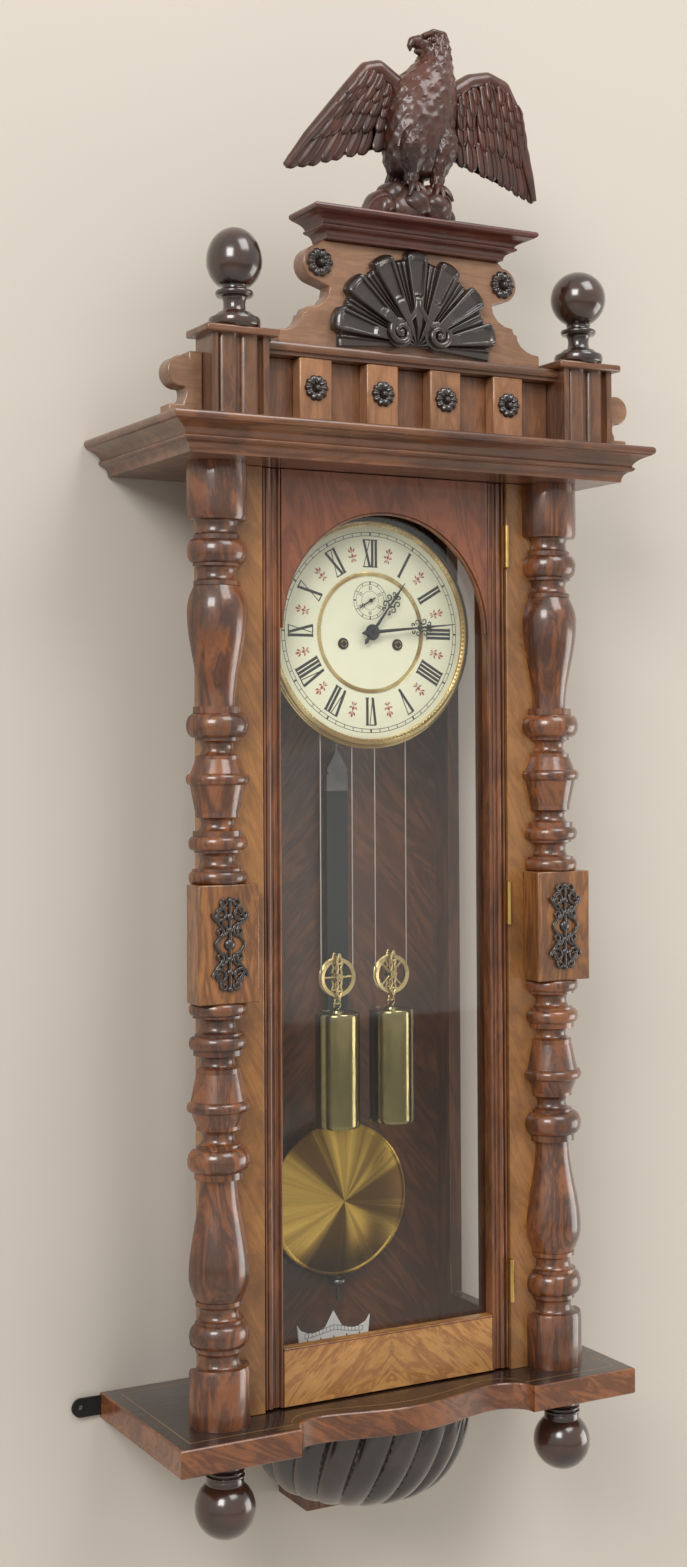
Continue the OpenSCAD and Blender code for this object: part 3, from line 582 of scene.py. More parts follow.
black_cast = lacquer("black_casting", tone(46, 34, 30), tone(20, 14, 12))
plate_y = ornament_box[1][1]
plate_z = (ornament_box[0][2] + ornament_box[1][2]) / 2
scroll_parts = []
for side in (-1, 1):
    x = side * column_x
    for hand in (-1, 1):
        for v in (-1, 1):
            scroll_parts.append(curl((x + hand * 9 * MM, plate_z + v * 26 * MM), 7 * MM, 1.4, 90 - 90 * hand, 1.7 * MM, plate_y - 1.6 * MM, -hand * v))
            scroll_parts.append(curl((x + hand * 8 * MM, plate_z + v * 11 * MM), 6 * MM, 1.2, 90 * v, 1.6 * MM, plate_y - 1.6 * MM, hand * v))
            scroll_parts.append(curl((x + hand * 5 * MM, plate_z + v * 34 * MM), 4.6 * MM, 1.1, -90 * v, 1.4 * MM, plate_y - 1.5 * MM, hand * v))
        t = np.linspace(-1, 1, 41)
        rail = np.stack([
            x + hand * (9.5 + 3.4 * np.cos(3 * math.pi * t)) * MM, np.full(41, plate_y - 1.4 * MM),
            plate_z + 33 * MM * t], axis=1)
        scroll_parts.append(tube(rail, 1.5 * MM))
    for v, r in ((0, 5.2), (12, 3.2), (-12, 3.2), (23, 3.6), (-23, 3.6), (36.5, 2.8), (-36.5, 2.8)):
        scroll_parts.append(dome((x, plate_z + v * MM), r * MM, plate_y, 3.6 * MM))
    t = np.linspace(-1, 1, 25)
    stem = np.stack([np.full(25, x), np.full(25, plate_y - 1.2 * MM), plate_z + 38 * MM * t], axis=1)
    scroll_parts.append(tube(stem, 1.6 * MM))
build("block_scrolls", scroll_parts, black_cast, "case", ["block_ornaments"], 60.0)


# --- Cornice and crest cap ----------------------------------------------------------------------
# Walnut mouldings run on three sides with mitred corners: a cavetto under a small bead, a broad
# hollow and a rounded nose. The crest's cap is the same moulding, smaller, in redder wood.
def moulding_setback():
    """(setback, height) in mm, from the soffit up: quarter cavetto, bead, cyma, half-round nose."""
    a = np.linspace(0, math.pi / 2, 9)
    b = np.linspace(-math.pi / 2, math.pi / 2, 9)
    cavetto = np.stack([22.5 - 7 * (1 - np.cos(a)), 9.3 * np.sin(a)], axis=1)
    bead = np.stack([15.0 - 1.5 * np.cos(b), 11.6 + 1.7 * np.sin(b)], axis=1)
    s = np.linspace(0, 1, 14)
    cyma = np.stack([15.5 - 13.0 * (0.35 * s + 0.65 * s ** 2.4), 13.8 + 9.6 * s ** 0.9], axis=1)
    nose = np.stack([2.6 - 2.6 * np.cos(b), 27.5 + 3.6 * np.sin(b)], axis=1)
    return np.concatenate([[[24.0, 0.0]], cavetto, bead, cyma, [[2.6, 23.6]], nose, [[4.0, 31.3]]])


def moulding_parts(half, front, back, low, high):
    """A block with the moulding's profile on its left, front and right faces, open nowhere.

    Each level of the profile is one rectangle, set back equally from three sides.
    """
    p = moulding_setback()
    d = p[:, 0] * MM
    z = low + p[:, 1] / 31.3 * (high - low)
    x = half - d
    y = front + d
    loops = np.stack([
        np.stack([-x, np.full_like(x, back), z], axis=1), np.stack([-x, y, z], axis=1),
        np.stack([x, y, z], axis=1), np.stack([x, np.full_like(x, back), z], axis=1)], axis=1)
    faces = grid_faces(len(p), 4, wrap_columns=True)
    last = (len(p) - 1) * 4
    faces += [[3, 2, 1, 0], [last, last + 1, last + 2, last + 3]]
    return [(loops.reshape(-1, 3), faces)]


cornice_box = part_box("cornice")
cap_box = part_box("crest_cap")
cornice_wood = wood("cornice_walnut", tone(138, 86, 50), tone(66, 36, 20), (0, 0, 0), 0.45, 1.2, 0.7, 0.6)
mahogany = wood("red_walnut", tone(104, 48, 34), tone(48, 18, 13), (0, 0, 0), 0.35, 1.3, 0.7, 0.4)
build(
    "cornice_moulding",
    moulding_parts(cornice_box[1][0], cornice_box[0][1], cornice_box[1][1], cornice_box[0][2], cornice_box[1][2]),
    cornice_wood, "case", ["cornice"], 28.0,
)
build(
    "crest_cap_moulding",
    moulding_parts(cap_box[1][0], cap_box[0][1], cap_box[1][1], cap_box[0][2], cap_box[1][2]),
    mahogany, "case", ["crest_cap"], 28.0,
)


# --- Shelf, corbel and gadrooned boss -----------------------------------------------------------
# The shelf is a thick board with a serpentine front, its top ebonised and polished inside a
# fine pale inlaid line, its edges faced with figured veneer. Under it a corbel block carries a
# half bowl, carved with slanting gadroon lobes and lacquered black.
shelf_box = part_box("shelf")
corbel_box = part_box("corbel_block")
boss_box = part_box("gadroon_boss")
shelf_depth = -shelf_box[0][1]


def shelf_front(x):
    """Depth of the front edge: straight ends, a quarter-ellipse cove, then a raised cosine bulge."""
    x = np.abs(x)
    cove = shelf_depth - 0.0214 * np.sqrt(np.maximum(0.0, 1 - ((x - 0.086) / 0.029) ** 2))
    bulge = shelf_depth - 0.0214 + 0.0154 * ((1 + np.cos(math.pi * np.minimum(x, 0.086) / 0.086)) / 2) ** 0.75
    return np.where(x > 0.115, shelf_depth, np.where(x > 0.086, cove, bulge))


def shelf_outline(inset):
    """The shelf's outline, clockwise from the back left, moved in by inset from every edge."""
    u = np.linspace(0, 1, 22)
    right = np.concatenate([0.115 - 0.029 * u ** 2, np.linspace(0.0845, 0.0, 22)])
    x = np.concatenate([-right, right[::-1][1:]])
    half = shelf_box[1][0] - inset
    ends = np.array([[-half, -inset], [-half, -shelf_depth + inset]])
    front = np.stack([x, -shelf_front(x) + inset], axis=1)
    return np.concatenate([ends, front, ends[::-1] * np.array([-1, 1])])


def layered(outlines, heights, top=True, bottom=True):
    """A solid lofted through outlines of equal count at their heights, capped above and below."""
    count = len(outlines[0])
    points = np.concatenate([np.column_stack([o, np.full(count, z)]) for o, z in zip(outlines, heights)])
    faces = grid_faces(len(heights), count, wrap_columns=True)
    if bottom:
        faces.append(list(range(count))[::-1])
    if top:
        faces.append([len(points) - count + k for k in range(count)])
    return points, faces


low, high = shelf_box[0][2], shelf_box[1][2]
edge_wood = wood("shelf_edge_veneer", tone(158, 96, 54), tone(78, 42, 22), (0, 30, 0), 0.5, 2.0, 0.6, 0.6)
build("shelf_edge", [layered(
    [shelf_outline(0.0012), shelf_outline(0.0), shelf_outline(0.0), shelf_outline(0.0008), shelf_outline(0.002)],
    [low, low + 0.0012, high - 0.0012, high - 0.0003, high - 0.0002])],
    edge_wood, "case", ["shelf"], 32.0)
ebonised_top = wood("ebonised_top", tone(50, 31, 22), tone(22, 13, 10), (0, 0, 0), 0.5, 1.2, 0.9, 0.5)
build("shelf_top", [layered(
    [shelf_outline(0.0024), shelf_outline(0.0024), shelf_outline(0.003)],
    [high - 0.001, high - 0.0001, high])], ebonised_top, "case")
line_wood = wood("boxwood_line", tone(150, 118, 74), tone(120, 88, 52), (0, 0, 0), 0.2, 1.0, 0.6, 0.5)
inlay_in, inlay_out = shelf_outline(0.0146), shelf_outline(0.0136)
inlay_points = np.concatenate([np.column_stack([o, np.full(len(o), z)]) for o, z in (
    (inlay_out, high - 0.0002), (inlay_out, high + 0.00006), (inlay_in, high + 0.00006), (inlay_in, high - 0.0002))])
build("shelf_inlay", [(inlay_points, grid_faces(4, len(inlay_in), wrap_rows=True, wrap_columns=True))],
      line_wood, "case")
corbel_wood = wood("corbel_walnut", tone(134, 84, 50), tone(66, 36, 20), (0, 90, 0), 0.6, 1.6, 0.3, 0.5)
eased("corbel_block", corbel_wood, 0.0008)

boss_gloss = lacquer("boss_lacquer", tone(50, 36, 30), tone(20, 14, 12), 0.16, 0.9)
u = np.linspace(0, 1, 46)[:, None]
v = np.linspace(0, 1, 241)[None, :]
lobes = 11
bowl_r = 0.046 + 0.0545 * np.sin(u * math.pi / 2) ** 0.9
bowl_z = boss_box[0][2] + (boss_box[1][2] - boss_box[0][2]) * (1 - np.cos(u * math.pi / 2))
lean = 0.16 * (1 - u)
phase = np.clip(v, 0, 1) * lobes + lean * lobes * 0.8
ridge = np.sqrt(np.abs(np.sin(phase * math.pi)) + 0.0001)
swell = np.sin(np.clip(u * 1.06, 0, 1) * math.pi / 2) ** 0.4
radius = (bowl_r - 0.0042 * (1 - u * 0.3)) + 0.0072 * ridge * swell
turn = math.pi + v * math.pi
boss_points = np.stack([
    radius * np.cos(turn), boss_box[1][1] + radius * np.sin(turn), np.broadcast_to(bowl_z, radius.shape)], axis=-1)
back = np.stack([
    boss_points[:, [0, -1], 0], np.full((46, 2), boss_box[1][1]), boss_points[:, [0, -1], 2]], axis=-1)
boss_faces = grid_faces(46, 241)
boss_faces.append([k * 241 for k in range(46)] + [k * 241 + 240 for k in range(45, -1, -1)])
boss_faces.append(list(range(240, -1, -1)))
boss_faces.append([45 * 241 + k for k in range(241)])
build("gadroon_bowl", [(boss_points.reshape(-1, 3), boss_faces)], boss_gloss, "case", ["gadroon_boss"], 55.0)

# --- Turned drops and ball finials --------------------------------------------------------------
# Two turned drops hang under the shelf and two ball finials stand on the crown's pedestals, all
# stained nearly black and varnished. The left ball is a little egg-shaped.
drop_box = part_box("drop_finials")
drop_r = 25.3
drop_z = 42.4
a = np.linspace(math.radians(52), -math.pi / 2, 40)
ball = np.stack([drop_r * np.cos(a), drop_z - drop_r * np.sin(a)], axis=1)
drop_outline = np.concatenate([
    turned_members([["line", 1, 17.0, 17.8], ["line", 2.4, 17.8, 17.8], ["line", 0.8, 17.8, 16.8],
                    ["cove", 7.2, 16.0, 12.8], ["bead", 2.4, 14.6, 15.4], ["line", 0.8, 14.2, 14.2],
                    ["bead", 2.2, 15.6, 16.4]]),
    [[15.1, 17.2], [15.4, 18.2], [15.6, 18.6]],
    ball,
])
drop_outline = drop_outline[np.concatenate([[True], np.diff(drop_outline[:, 1]) > -0.01])]
ebony_gloss = lacquer("stained_ball_varnish", tone(66, 38, 26), tone(28, 15, 11), 0.14, 1.0, 90.0)
build("turned_drops", [
    moved(lathe(closed_outline(drop_outline) * MM, 64), (side * 0.168, -0.1355, drop_box[1][2]), (1, 1, -1))
    for side in (-1, 1)], ebony_gloss, "case", ["drop_finials"], 40.0)

finial_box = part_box("ball_finials")
foot = turned_members([
    ["line", 1.5, 19.5, 20.6], ["bead", 7.5, 20.6, 21.7], ["line", 1.2, 18.6, 18.0], ["line", 2.8, 17, 14.6],
    ["cove", 14, 12.4, 9.2], ["line", 0.8, 14.6, 14.8], ["bead", 3.6, 14.8, 15.8], ["line", 1.0, 12.6, 11.4],
    ["cove", 3.6, 11.0, 10.4]])
crown_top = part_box("pedestal_caps")[1][2] / MM
finial_parts = []
for side, wide, up, down in ((-1, 23.2, 28.0, 24.6), (1, 24.6, 24.6, 24.6)):
    centre = finial_box[1][2] / MM - crown_top - up
    a = np.linspace(-math.pi / 2 + 0.42, math.pi / 2, 40)
    rise = np.where(a > 0, up, down)
    ball = np.stack([wide * np.cos(a), centre + rise * np.sin(a)], axis=1)
    ball = ball[ball[:, 1] > foot[-1, 1] - 0.5]
    finial_parts.append(moved(lathe(closed_outline(np.concatenate([foot, ball])) * MM, 64), (side * 0.1718, -0.168, crown_top * MM)))
build("ball_finial_pair", finial_parts, ebony_gloss, "case", ["ball_finials"], 40.0)

# --- Crown: frieze, pedestals, ears and crest board ---------------------------------------------
# A low frieze of raised blocks with rosettes between fluted pedestals; above its rail stands a
# shaped crest board that carries the shell. All in paler walnut with plain edges.
frieze_wood = wood("frieze_walnut", tone(156, 106, 70), tone(96, 58, 36), (0, 90, 0), 0.4, 1.6, 0.5, 0.5)
block_pale = wood("frieze_block_veneer", tone(180, 128, 86), tone(120, 76, 48), (0, 90, 0), 0.4, 1.8, 0.5, 0.5)
rail_wood = wood("rail_walnut", tone(130, 84, 52), tone(66, 38, 22), (0, 0, 0), 0.4, 1.4, 0.6, 0.5)
crest_wood = wood("crest_walnut", tone(168, 126, 94), tone(120, 84, 60), (0, 0, 0), 0.35, 1.5, 0.5, 0.5)
eased("frieze_board", frieze_wood)
eased("frieze_blocks", block_pale, 0.0015)
eased("crest_board", crest_wood, 0.0012)
eased("side_ears", crest_wood, 0.0012)
eased("pedestal_caps", rail_wood, 0.0016)


def swept(profile, start, end, back_to):
    """A strip along X: (depth, height) points of its face, closed behind at the depth back_to."""
    face = np.concatenate([[[back_to, profile[0, 1]]], profile, [[back_to, profile[-1, 1]]]])
    ends = [np.column_stack([np.full(len(face), x), face]) for x in (start, end)]
    faces = grid_faces(2, len(face), wrap_columns=True)
    faces += [list(range(len(face)))[::-1], list(range(len(face), 2 * len(face)))]
    return np.concatenate(ends), faces


rail_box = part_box("frieze_rail")
s = np.linspace(-math.pi / 2, math.pi / 2, 9)
h = rail_box[1][2] - rail_box[0][2]
rail_face = np.concatenate([
    [[rail_box[0][1] + 0.0045, rail_box[0][2]], [rail_box[0][1] + 0.0045, rail_box[0][2] + 0.28 * h]],
    np.stack([rail_box[0][1] + 0.0016 - 0.0016 * np.cos(s), rail_box[0][2] + h * (0.64 + 0.36 * np.sin(s))], axis=1),
])
build("frieze_rail_moulding", [swept(rail_face, rail_box[0][0], rail_box[1][0], rail_box[1][1])],
      rail_wood, "case", ["frieze_rail"], 32.0)

pedestal_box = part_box("pedestals")
inner_x = 0.1466
outer_x = pedestal_box[1][0]
front_y = pedestal_box[0][1]
back_y = pedestal_box[1][1]
x = np.linspace(0, 1, 97)
# Two wide reeds with a quirk at each side of them, between flat margins.
reed = np.zeros_like(x)
for centre in (0.31, 0.69):
    near = np.clip(1 - ((x - centre) / 0.165) ** 2, 0, 1)
    reed = np.maximum(reed, np.sqrt(near))
margin = (x < 0.105) | (x > 0.895)
depth = np.where(margin, 0.0, 0.0052 - 0.0045 * reed)
face = np.stack([inner_x + (outer_x - inner_x) * x, front_y + depth], axis=1)
pedestal_outline = np.concatenate([[[inner_x, back_y]], face, [[outer_x, back_y]]])
pedestal_parts = []
for side in (-1, 1):
    points, faces = layered([pedestal_outline, pedestal_outline], [pedestal_box[0][2], pedestal_box[1][2]])
    pedestal_parts.append((points * np.array([side, 1, 1]), faces))
pedestal_wood = wood("pedestal_walnut", tone(128, 84, 54), tone(62, 36, 22), (0, 90, 0), 0.45, 1.6, 0.6, 0.6)
build("reeded_pedestals", pedestal_parts, pedestal_wood, "case", ["pedestals"], 30.0)


# Rosettes: turned buttons carved with petals round a domed, beaded eye.
def rosette(centre, radius, depth, height, petals=10):
    """A petalled disc on a plane facing -Y.

    Its height over the plane is a ring swell times a cosine of the petals, round a raised eye.
    """
    r = np.linspace(0, 1, 22)[:, None]
    a = np.linspace(0, 2 * math.pi, 120, endpoint=False)[None, :]
    wave = 0.5 + 0.5 * np.cos(petals * a)
    edge = radius * (0.88 + 0.12 * wave ** 0.5)
    ring = np.sin(np.clip((r - 0.34) / 0.66, 0, 1) * math.pi) ** 0.7
    eye = np.sqrt(np.clip(1 - (r / 0.3) ** 2, 0, 1))
    lift = height * (0.2 + 0.5 * ring * (0.45 + 0.55 * wave) + 0.8 * eye * (r < 0.34))
    lift = np.where(r > 0.97, 0.0, lift) * np.ones_like(a)
    points = np.stack([centre[0] + r * edge * np.cos(a), depth - lift, centre[1] + r * edge * np.sin(a)], axis=-1)
    faces = grid_faces(22, 120, wrap_columns=True)
    faces.append([21 * 120 + k for k in range(120)])
    return points.reshape(-1, 3), faces


rosette_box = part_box("rosettes")
rosette_parts = []
row_z = DIAL_Z + 0.1983
for place in (-0.096, -0.0315, 0.0315, 0.096):
    rosette_parts.append(rosette((place, row_z), 0.0112, -0.168, 0.0055))
for side in (-1, 1):
    rosette_parts.append(rosette((side * 0.0914, DIAL_Z + 0.3048), 0.0124, -0.166, 0.0072))
carving_black = lacquer("carving_lacquer", tone(54, 36, 30), tone(22, 14, 12), 0.2, 0.8)
build("carved_rosettes", rosette_parts, carving_black, "case", ["rosettes"], 50.0)


# --- Door ---------------------------------------------------------------------------------------
# Two long reeded stiles, an arched panel of redder wood over the dial and a rail of golden,
# book-matched veneer frame one pane of glass. Three brass butts hang it on the right.
stile_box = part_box("door_stiles")
light_x = 0.1045
door_x = stile_box[1][0]
front = stile_box[0][1]
rear = stile_box[1][1]
inch = np.linspace(0, 1, 121)
# From the glass outwards: a bright bead, a narrow dark hollow, a flat, a second bead, a margin.
beads = (
    (0.02, 0.20, 0.0030), (0.34, 0.46, 0.0012), (0.56, 0.86, 0.0026),
)
relief = np.full_like(inch, 0.0030)
for start, end, rise in beads:
    near = np.clip(1 - ((inch - (start + end) / 2) / ((end - start) / 2)) ** 2, 0, 1)
    relief = relief - rise * np.sqrt(near)
relief = np.where(inch > 0.9, 0.0006, relief)
stile_face = np.stack([light_x + (door_x - light_x) * inch, front + relief], axis=1)
stile_outline = np.concatenate([
    [[light_x + 0.004, rear], [light_x + 0.004, rear - 0.005], [light_x, rear - 0.005]], stile_face, [[door_x, rear]]])
stile_parts = []
for side in (-1, 1):
    points, faces = layered([stile_outline, stile_outline], [stile_box[0][2], stile_box[1][2]])
    stile_parts.append((points * np.array([side, 1, 1]), faces))
stile_wood = wood("stile_walnut", tone(150, 92, 54), tone(74, 42, 24), (0, 90, 0), 0.45, 1.4, 0.7, 0.6)
build("reeded_stiles", stile_parts, stile_wood, "door", ["door_stiles"], 26.0)

panel_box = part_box("door_top_panel")
red_panel = wood("red_panel_veneer", tone(148, 86, 54), tone(98, 52, 33), (0, 80, 0), 0.5, 1.6, 0.6, 0.4)
finish_node("door_top_panel", red_panel)
finish_node("door_bottom_rail", wood(
    "book_matched_veneer", tone(206, 152, 84), tone(138, 84, 38), (0, 40, 0), 0.5, 3.0, 0.7, 0.35, "x"))
# A thin bead follows the arch, hiding the glass's edge.
a = np.linspace(0, math.pi, 97)
bead_r = light_x - 0.0016
arch = np.stack([bead_r * np.cos(a), np.full(97, front + 0.003), DIAL_Z + bead_r * np.sin(a)], axis=1)
build("arch_bead", [tube(arch, 0.0014, 10)], stile_wood, "door")
rail_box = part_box("door_bottom_rail")
sill = np.stack([np.array([-1.0, 1.0]) * light_x, np.full(2, front + 0.0012), np.full(2, rail_box[1][2] - 0.0012)], axis=1)
build("sill_bead", [tube(sill, 0.0014, 10)], stile_wood, "door")


def glass(name):
    """A clear pane: it lets nearly all light through, mirrors a little and holds a thin haze."""
    sh, bsdf, mat = new_material(name)
    at = sh.add("ShaderNodeTexCoord")
    haze = sh.add("ShaderNodeTexNoise", Scale=7.0, Detail=4.0)
    sh.join(at.outputs["Object"], haze.inputs["Vector"])
    rough = sh.add("ShaderNodeMapRange", To_Min=0.01, To_Max=0.05)
    sh.join(haze.outputs[0], rough.inputs["Value"])
    sh.join(rough.outputs[0], bsdf.inputs["Roughness"])
    bsdf.inputs["Base Color"].default_value = (0.80, 0.84, 0.84, 1.0)
    bsdf.inputs["Metallic"].default_value = 1.0
    bsdf.inputs["Alpha"].default_value = 0.045
    return mat


window_glass = glass("window_glass")
finish_node("door_glass", window_glass)
finish_node("side_glasses", window_glass)


def metal(name, bright, dull, roughness=0.3, ring=None, coat=0.0, patina=0.5):
    """Polished or tarnished metal on Object coordinates.

    ring is None, or the (x, z) of an axis along Y about which the surface was spun: its
    roughness then varies with the angle round that axis, and its colour carries painted highlights:
    fine radial streaks of bright over dull.
    """
    sh, bsdf, mat = new_material(name)
    at = sh.add("ShaderNodeTexCoord")
    cloud = sh.add("ShaderNodeTexNoise", Scale=46.0, Detail=6.0, Roughness=0.65)
    sh.join(at.outputs["Object"], cloud.inputs["Vector"])
    mask = sh.add("ShaderNodeMapRange", From_Min=0.42, From_Max=0.72, To_Min=0.0, To_Max=patina)
    sh.join(cloud.outputs[0], mask.inputs["Value"])
    mix = sh.add("ShaderNodeMix", data_type="RGBA")
    mix.inputs[6].default_value = bright
    mix.inputs[7].default_value = dull
    rough = sh.add("ShaderNodeMapRange", To_Min=roughness, To_Max=roughness + 0.2)
    if ring is None:
        sh.join(mask.outputs[0], mix.inputs[0])
        sh.join(mask.outputs[0], rough.inputs["Value"])
        fine = sh.add("ShaderNodeTexNoise", Scale=120.0, Detail=2.0)
        sh.join(at.outputs["Object"], fine.inputs["Vector"])
    else:
        place = sh.add("ShaderNodeMapping", vector_type="POINT")
        place.inputs["Location"].default_value = (-ring[0], 0.0, -ring[1])
        sh.join(at.outputs["Object"], place.inputs[0])
        xyz = sh.add("ShaderNodeSeparateXYZ")
        sh.join(place.outputs[0], xyz.inputs[0])
        flat = sh.add("ShaderNodeCombineXYZ")
        spoke = sh.add("ShaderNodeVectorMath", operation="NORMALIZE")
        sh.join(xyz.outputs[0], flat.inputs[0])
        sh.join(xyz.outputs[2], flat.inputs[2])
        sh.join(flat.outputs[0], spoke.inputs[0])
        fine = sh.add("ShaderNodeTexNoise", Scale=34.0, Detail=8.0, Roughness=0.7)
        sh.join(spoke.outputs[0], fine.inputs["Vector"])
        broad = sh.add("ShaderNodeTexNoise", Scale=1.7, Detail=2.0, Roughness=0.5)
        sh.join(spoke.outputs[0], broad.inputs["Vector"])
        ray_noise = sh.add("ShaderNodeMath", operation="MULTIPLY_ADD")
        ray_noise.inputs[1].default_value = 0.28
        sh.join(fine.outputs[0], ray_noise.inputs[0])
        sh.join(broad.outputs[0], ray_noise.inputs[2])
        # Bright streaks of colour by angle are painted highlights, the rays that a spun surface glints in.
        painted_ray_mask = sh.add("ShaderNodeMapRange", From_Min=0.5, From_Max=0.72, To_Min=0.0, To_Max=1.0)
        sh.join(ray_noise.outputs[0], painted_ray_mask.inputs["Value"])
        sh.join(painted_ray_mask.outputs[0], mix.inputs[0])
        sh.join(painted_ray_mask.outputs[0], rough.inputs["Value"])
    sh.join(mix.outputs[2], bsdf.inputs["Base Color"])
    sh.join(rough.outputs[0], bsdf.inputs["Roughness"])
    bump = sh.add("ShaderNodeBump", Strength=0.05, Distance=0.0001)
    sh.join(fine.outputs[0], bump.inputs["Height"])
    sh.join(bump.outputs[0], bsdf.inputs["Normal"])
    bsdf.inputs["Metallic"].default_value = 1.0
    bsdf.inputs["Coat Weight"].default_value = coat
    return mat


old_brass = metal("old_brass", tone(206, 172, 104), tone(128, 96, 50), 0.3)
for node in ("door_hinges", "movement_frame", "suspension_bracket", "centre_wheel", "escape_wheel",
             "time_barrel", "strike_barrel"):
    finish_node(node, old_brass)
black_iron = lacquer("black_iron", tone(40, 40, 42), tone(24, 22, 22), 0.45, 0.0, 400.0, 0.6)
for node in ("hanger_plate", "steady_brackets", "movement_bracket"):
    finish_node(node, black_iron)
bright_steel = metal("bright_steel", tone(190, 190, 192), tone(120, 118, 116), 0.25)
for node in ("anchor", "hammer"):
    finish_node(node, bright_steel)
blue_steel = metal("blackened_steel", tone(34, 34, 40), tone(16, 16, 18), 0.28, None, 0.3)
finish_node("gong", blue_steel)

# --- Dial ---------------------------------------------------------------------------------------
# A fired-enamel disc with a sunk centre inside a fine brass ring. Roman hours, a railway minute
# track, small red-brown sprigs between the hours and a seconds dial above the centre.
dial_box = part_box("dial_plate")
enamel_y = dial_box[0][1]
enamel_r = 0.095


def at_dial(points, depth):
    """Flat (x, height) points round the dial's centre, placed in the row's frame at a depth."""
    p = np.asarray(points, float)
    return np.column_stack([p[:, 0], np.full(len(p), depth), DIAL_Z + p[:, 1]])


def facing(outline, centre_x=0.0, centre_z=DIAL_Z, around=96):
    """A lathe about an axis along Y: outline holds (radius, depth) points, depth along Y."""
    points, faces = lathe(np.asarray(outline, float), around)
    return np.stack([points[:, 0] + centre_x, points[:, 2], points[:, 1] + centre_z], axis=1), faces


def inlaid(outline, depth, thick=0.00016):
    """A flat painted shape of that outline, a hair thick, standing on the enamel."""
    n = len(outline)
    points = np.concatenate([at_dial(outline, depth), at_dial(outline, depth - thick)])
    faces = [list(range(n)), list(range(2 * n - 1, n - 1, -1))]
    return points, faces + [[k, (k + 1) % n, n + (k + 1) % n, n + k] for k in range(n)]


def ring_line(radius, width, depth, centre=(0.0, 0.0), around=128):
    """A painted circle line on the enamel."""
    r0, r1 = radius - width / 2, radius + width / 2
    outline = [[r0, depth], [r1, depth], [r1, depth - 0.00014], [r0, depth - 0.00014], [r0, depth]]
    return facing(outline, centre[0], DIAL_Z + centre[1], around)


def enamel(name, colour, shade):
    """Fired enamel: cream glass with faint cloudiness, fine crazing lines and a hard gloss."""
    sh, bsdf, mat = new_material(name)
    at = sh.add("ShaderNodeTexCoord")
    cloud = sh.add("ShaderNodeTexNoise", Scale=22.0, Detail=4.0)
    crack = sh.add("ShaderNodeTexVoronoi", feature="DISTANCE_TO_EDGE", Scale=90.0)
    sh.join(at.outputs["Object"], cloud.inputs["Vector"])
    sh.join(at.outputs["Object"], crack.inputs["Vector"])
    mix = sh.add("ShaderNodeMix", data_type="RGBA")
    mix.inputs[6].default_value = colour
    mix.inputs[7].default_value = shade
    sh.join(cloud.outputs[0], mix.inputs[0])
    line = sh.add("ShaderNodeMapRange", From_Min=0.0, From_Max=0.006, To_Min=0.93, To_Max=1.0)
    sh.join(crack.outputs[0], line.inputs["Value"])
    crazed = sh.add("ShaderNodeMix", data_type="RGBA", blend_type="MULTIPLY")
    crazed.inputs[0].default_value = 1.0
    sh.join(mix.outputs[2], crazed.inputs[6])
    sh.join(line.outputs[0], crazed.inputs[7])
    sh.join(crazed.outputs[2], bsdf.inputs["Base Color"])
    rough = sh.add("ShaderNodeMapRange", To_Min=0.1, To_Max=0.2)
    sh.join(cloud.outputs[0], rough.inputs["Value"])
    sh.join(rough.outputs[0], bsdf.inputs["Roughness"])
    bsdf.inputs["Coat Weight"].default_value = 0.4
    bsdf.inputs["Coat Roughness"].default_value = 0.05
    return mat


cream = enamel("cream_enamel", tone(236, 236, 208), tone(224, 226, 196))
winding_x = 0.0277
winding_z = -0.0105
seconds_z = 0.0285
face = [[0.0036, enamel_y + 0.002], [0.0036, enamel_y + 0.0006], [0.0500, enamel_y + 0.0006],
        [0.0505, enamel_y], [0.093, enamel_y], [enamel_r, enamel_y + 0.0008], [enamel_r, enamel_y + 0.002],
        [0.0036, enamel_y + 0.002]]
build("enamel_dial", [facing(face, around=160)], cream, "case", ["dial_plate"], 30.0)

# Dark printing: hours, minute track and seconds dial. Black discs on the winding holes are painted shade.
STROKES = {"I": [(0.0, 0.0, 1.0)], "V": [(-0.34, 0.0, 1.0), (0.34, 0.0, 0.3)],
           "X": [(-0.36, 0.36, 1.0), (0.36, -0.36, 0.3)]}
SPAN = {"I": 0.42, "V": 0.86, "X": 0.90}


def roman(word, angle, inner, outer, thick):
    """Quads of one radial numeral: each stroke is a slanted bar, with hairline serifs at its ends."""
    height = outer - inner
    unit = height * 0.36
    width = sum(SPAN[c] for c in word)
    x0 = -width / 2
    quads = []
    for c in word:
        mid = x0 + SPAN[c] / 2
        foot_x = {"I": 0.0, "V": 0.0, "X": 0.36}[c]
        for top, bottom, weight in STROKES[c]:
            w = thick * weight / 2
            b = mid + bottom
            t = mid + top
            quads.append([(b * unit - w, 0), (b * unit + w, 0), (t * unit + w, height), (t * unit - w, height)])
        reach_x = SPAN[c] / 2 * unit * 0.94
        hair = height * 0.022
        quads.append([(mid * unit - reach_x, height - hair), (mid * unit + reach_x, height - hair),
                      (mid * unit + reach_x, height + hair), (mid * unit - reach_x, height + hair)])
        foot = reach_x if c != "V" else reach_x * 0.28
        quads.append([(mid * unit - foot, -hair), (mid * unit + foot, -hair),
                      (mid * unit + foot, hair), (mid * unit - foot, hair)])
        x0 += SPAN[c]
    turned = []
    sin, cos = math.sin(angle), math.cos(angle)
    for quad in quads:
        turned.append([(x * cos + (inner + y) * sin, -x * sin + (inner + y) * cos) for x, y in quad])
    return turned


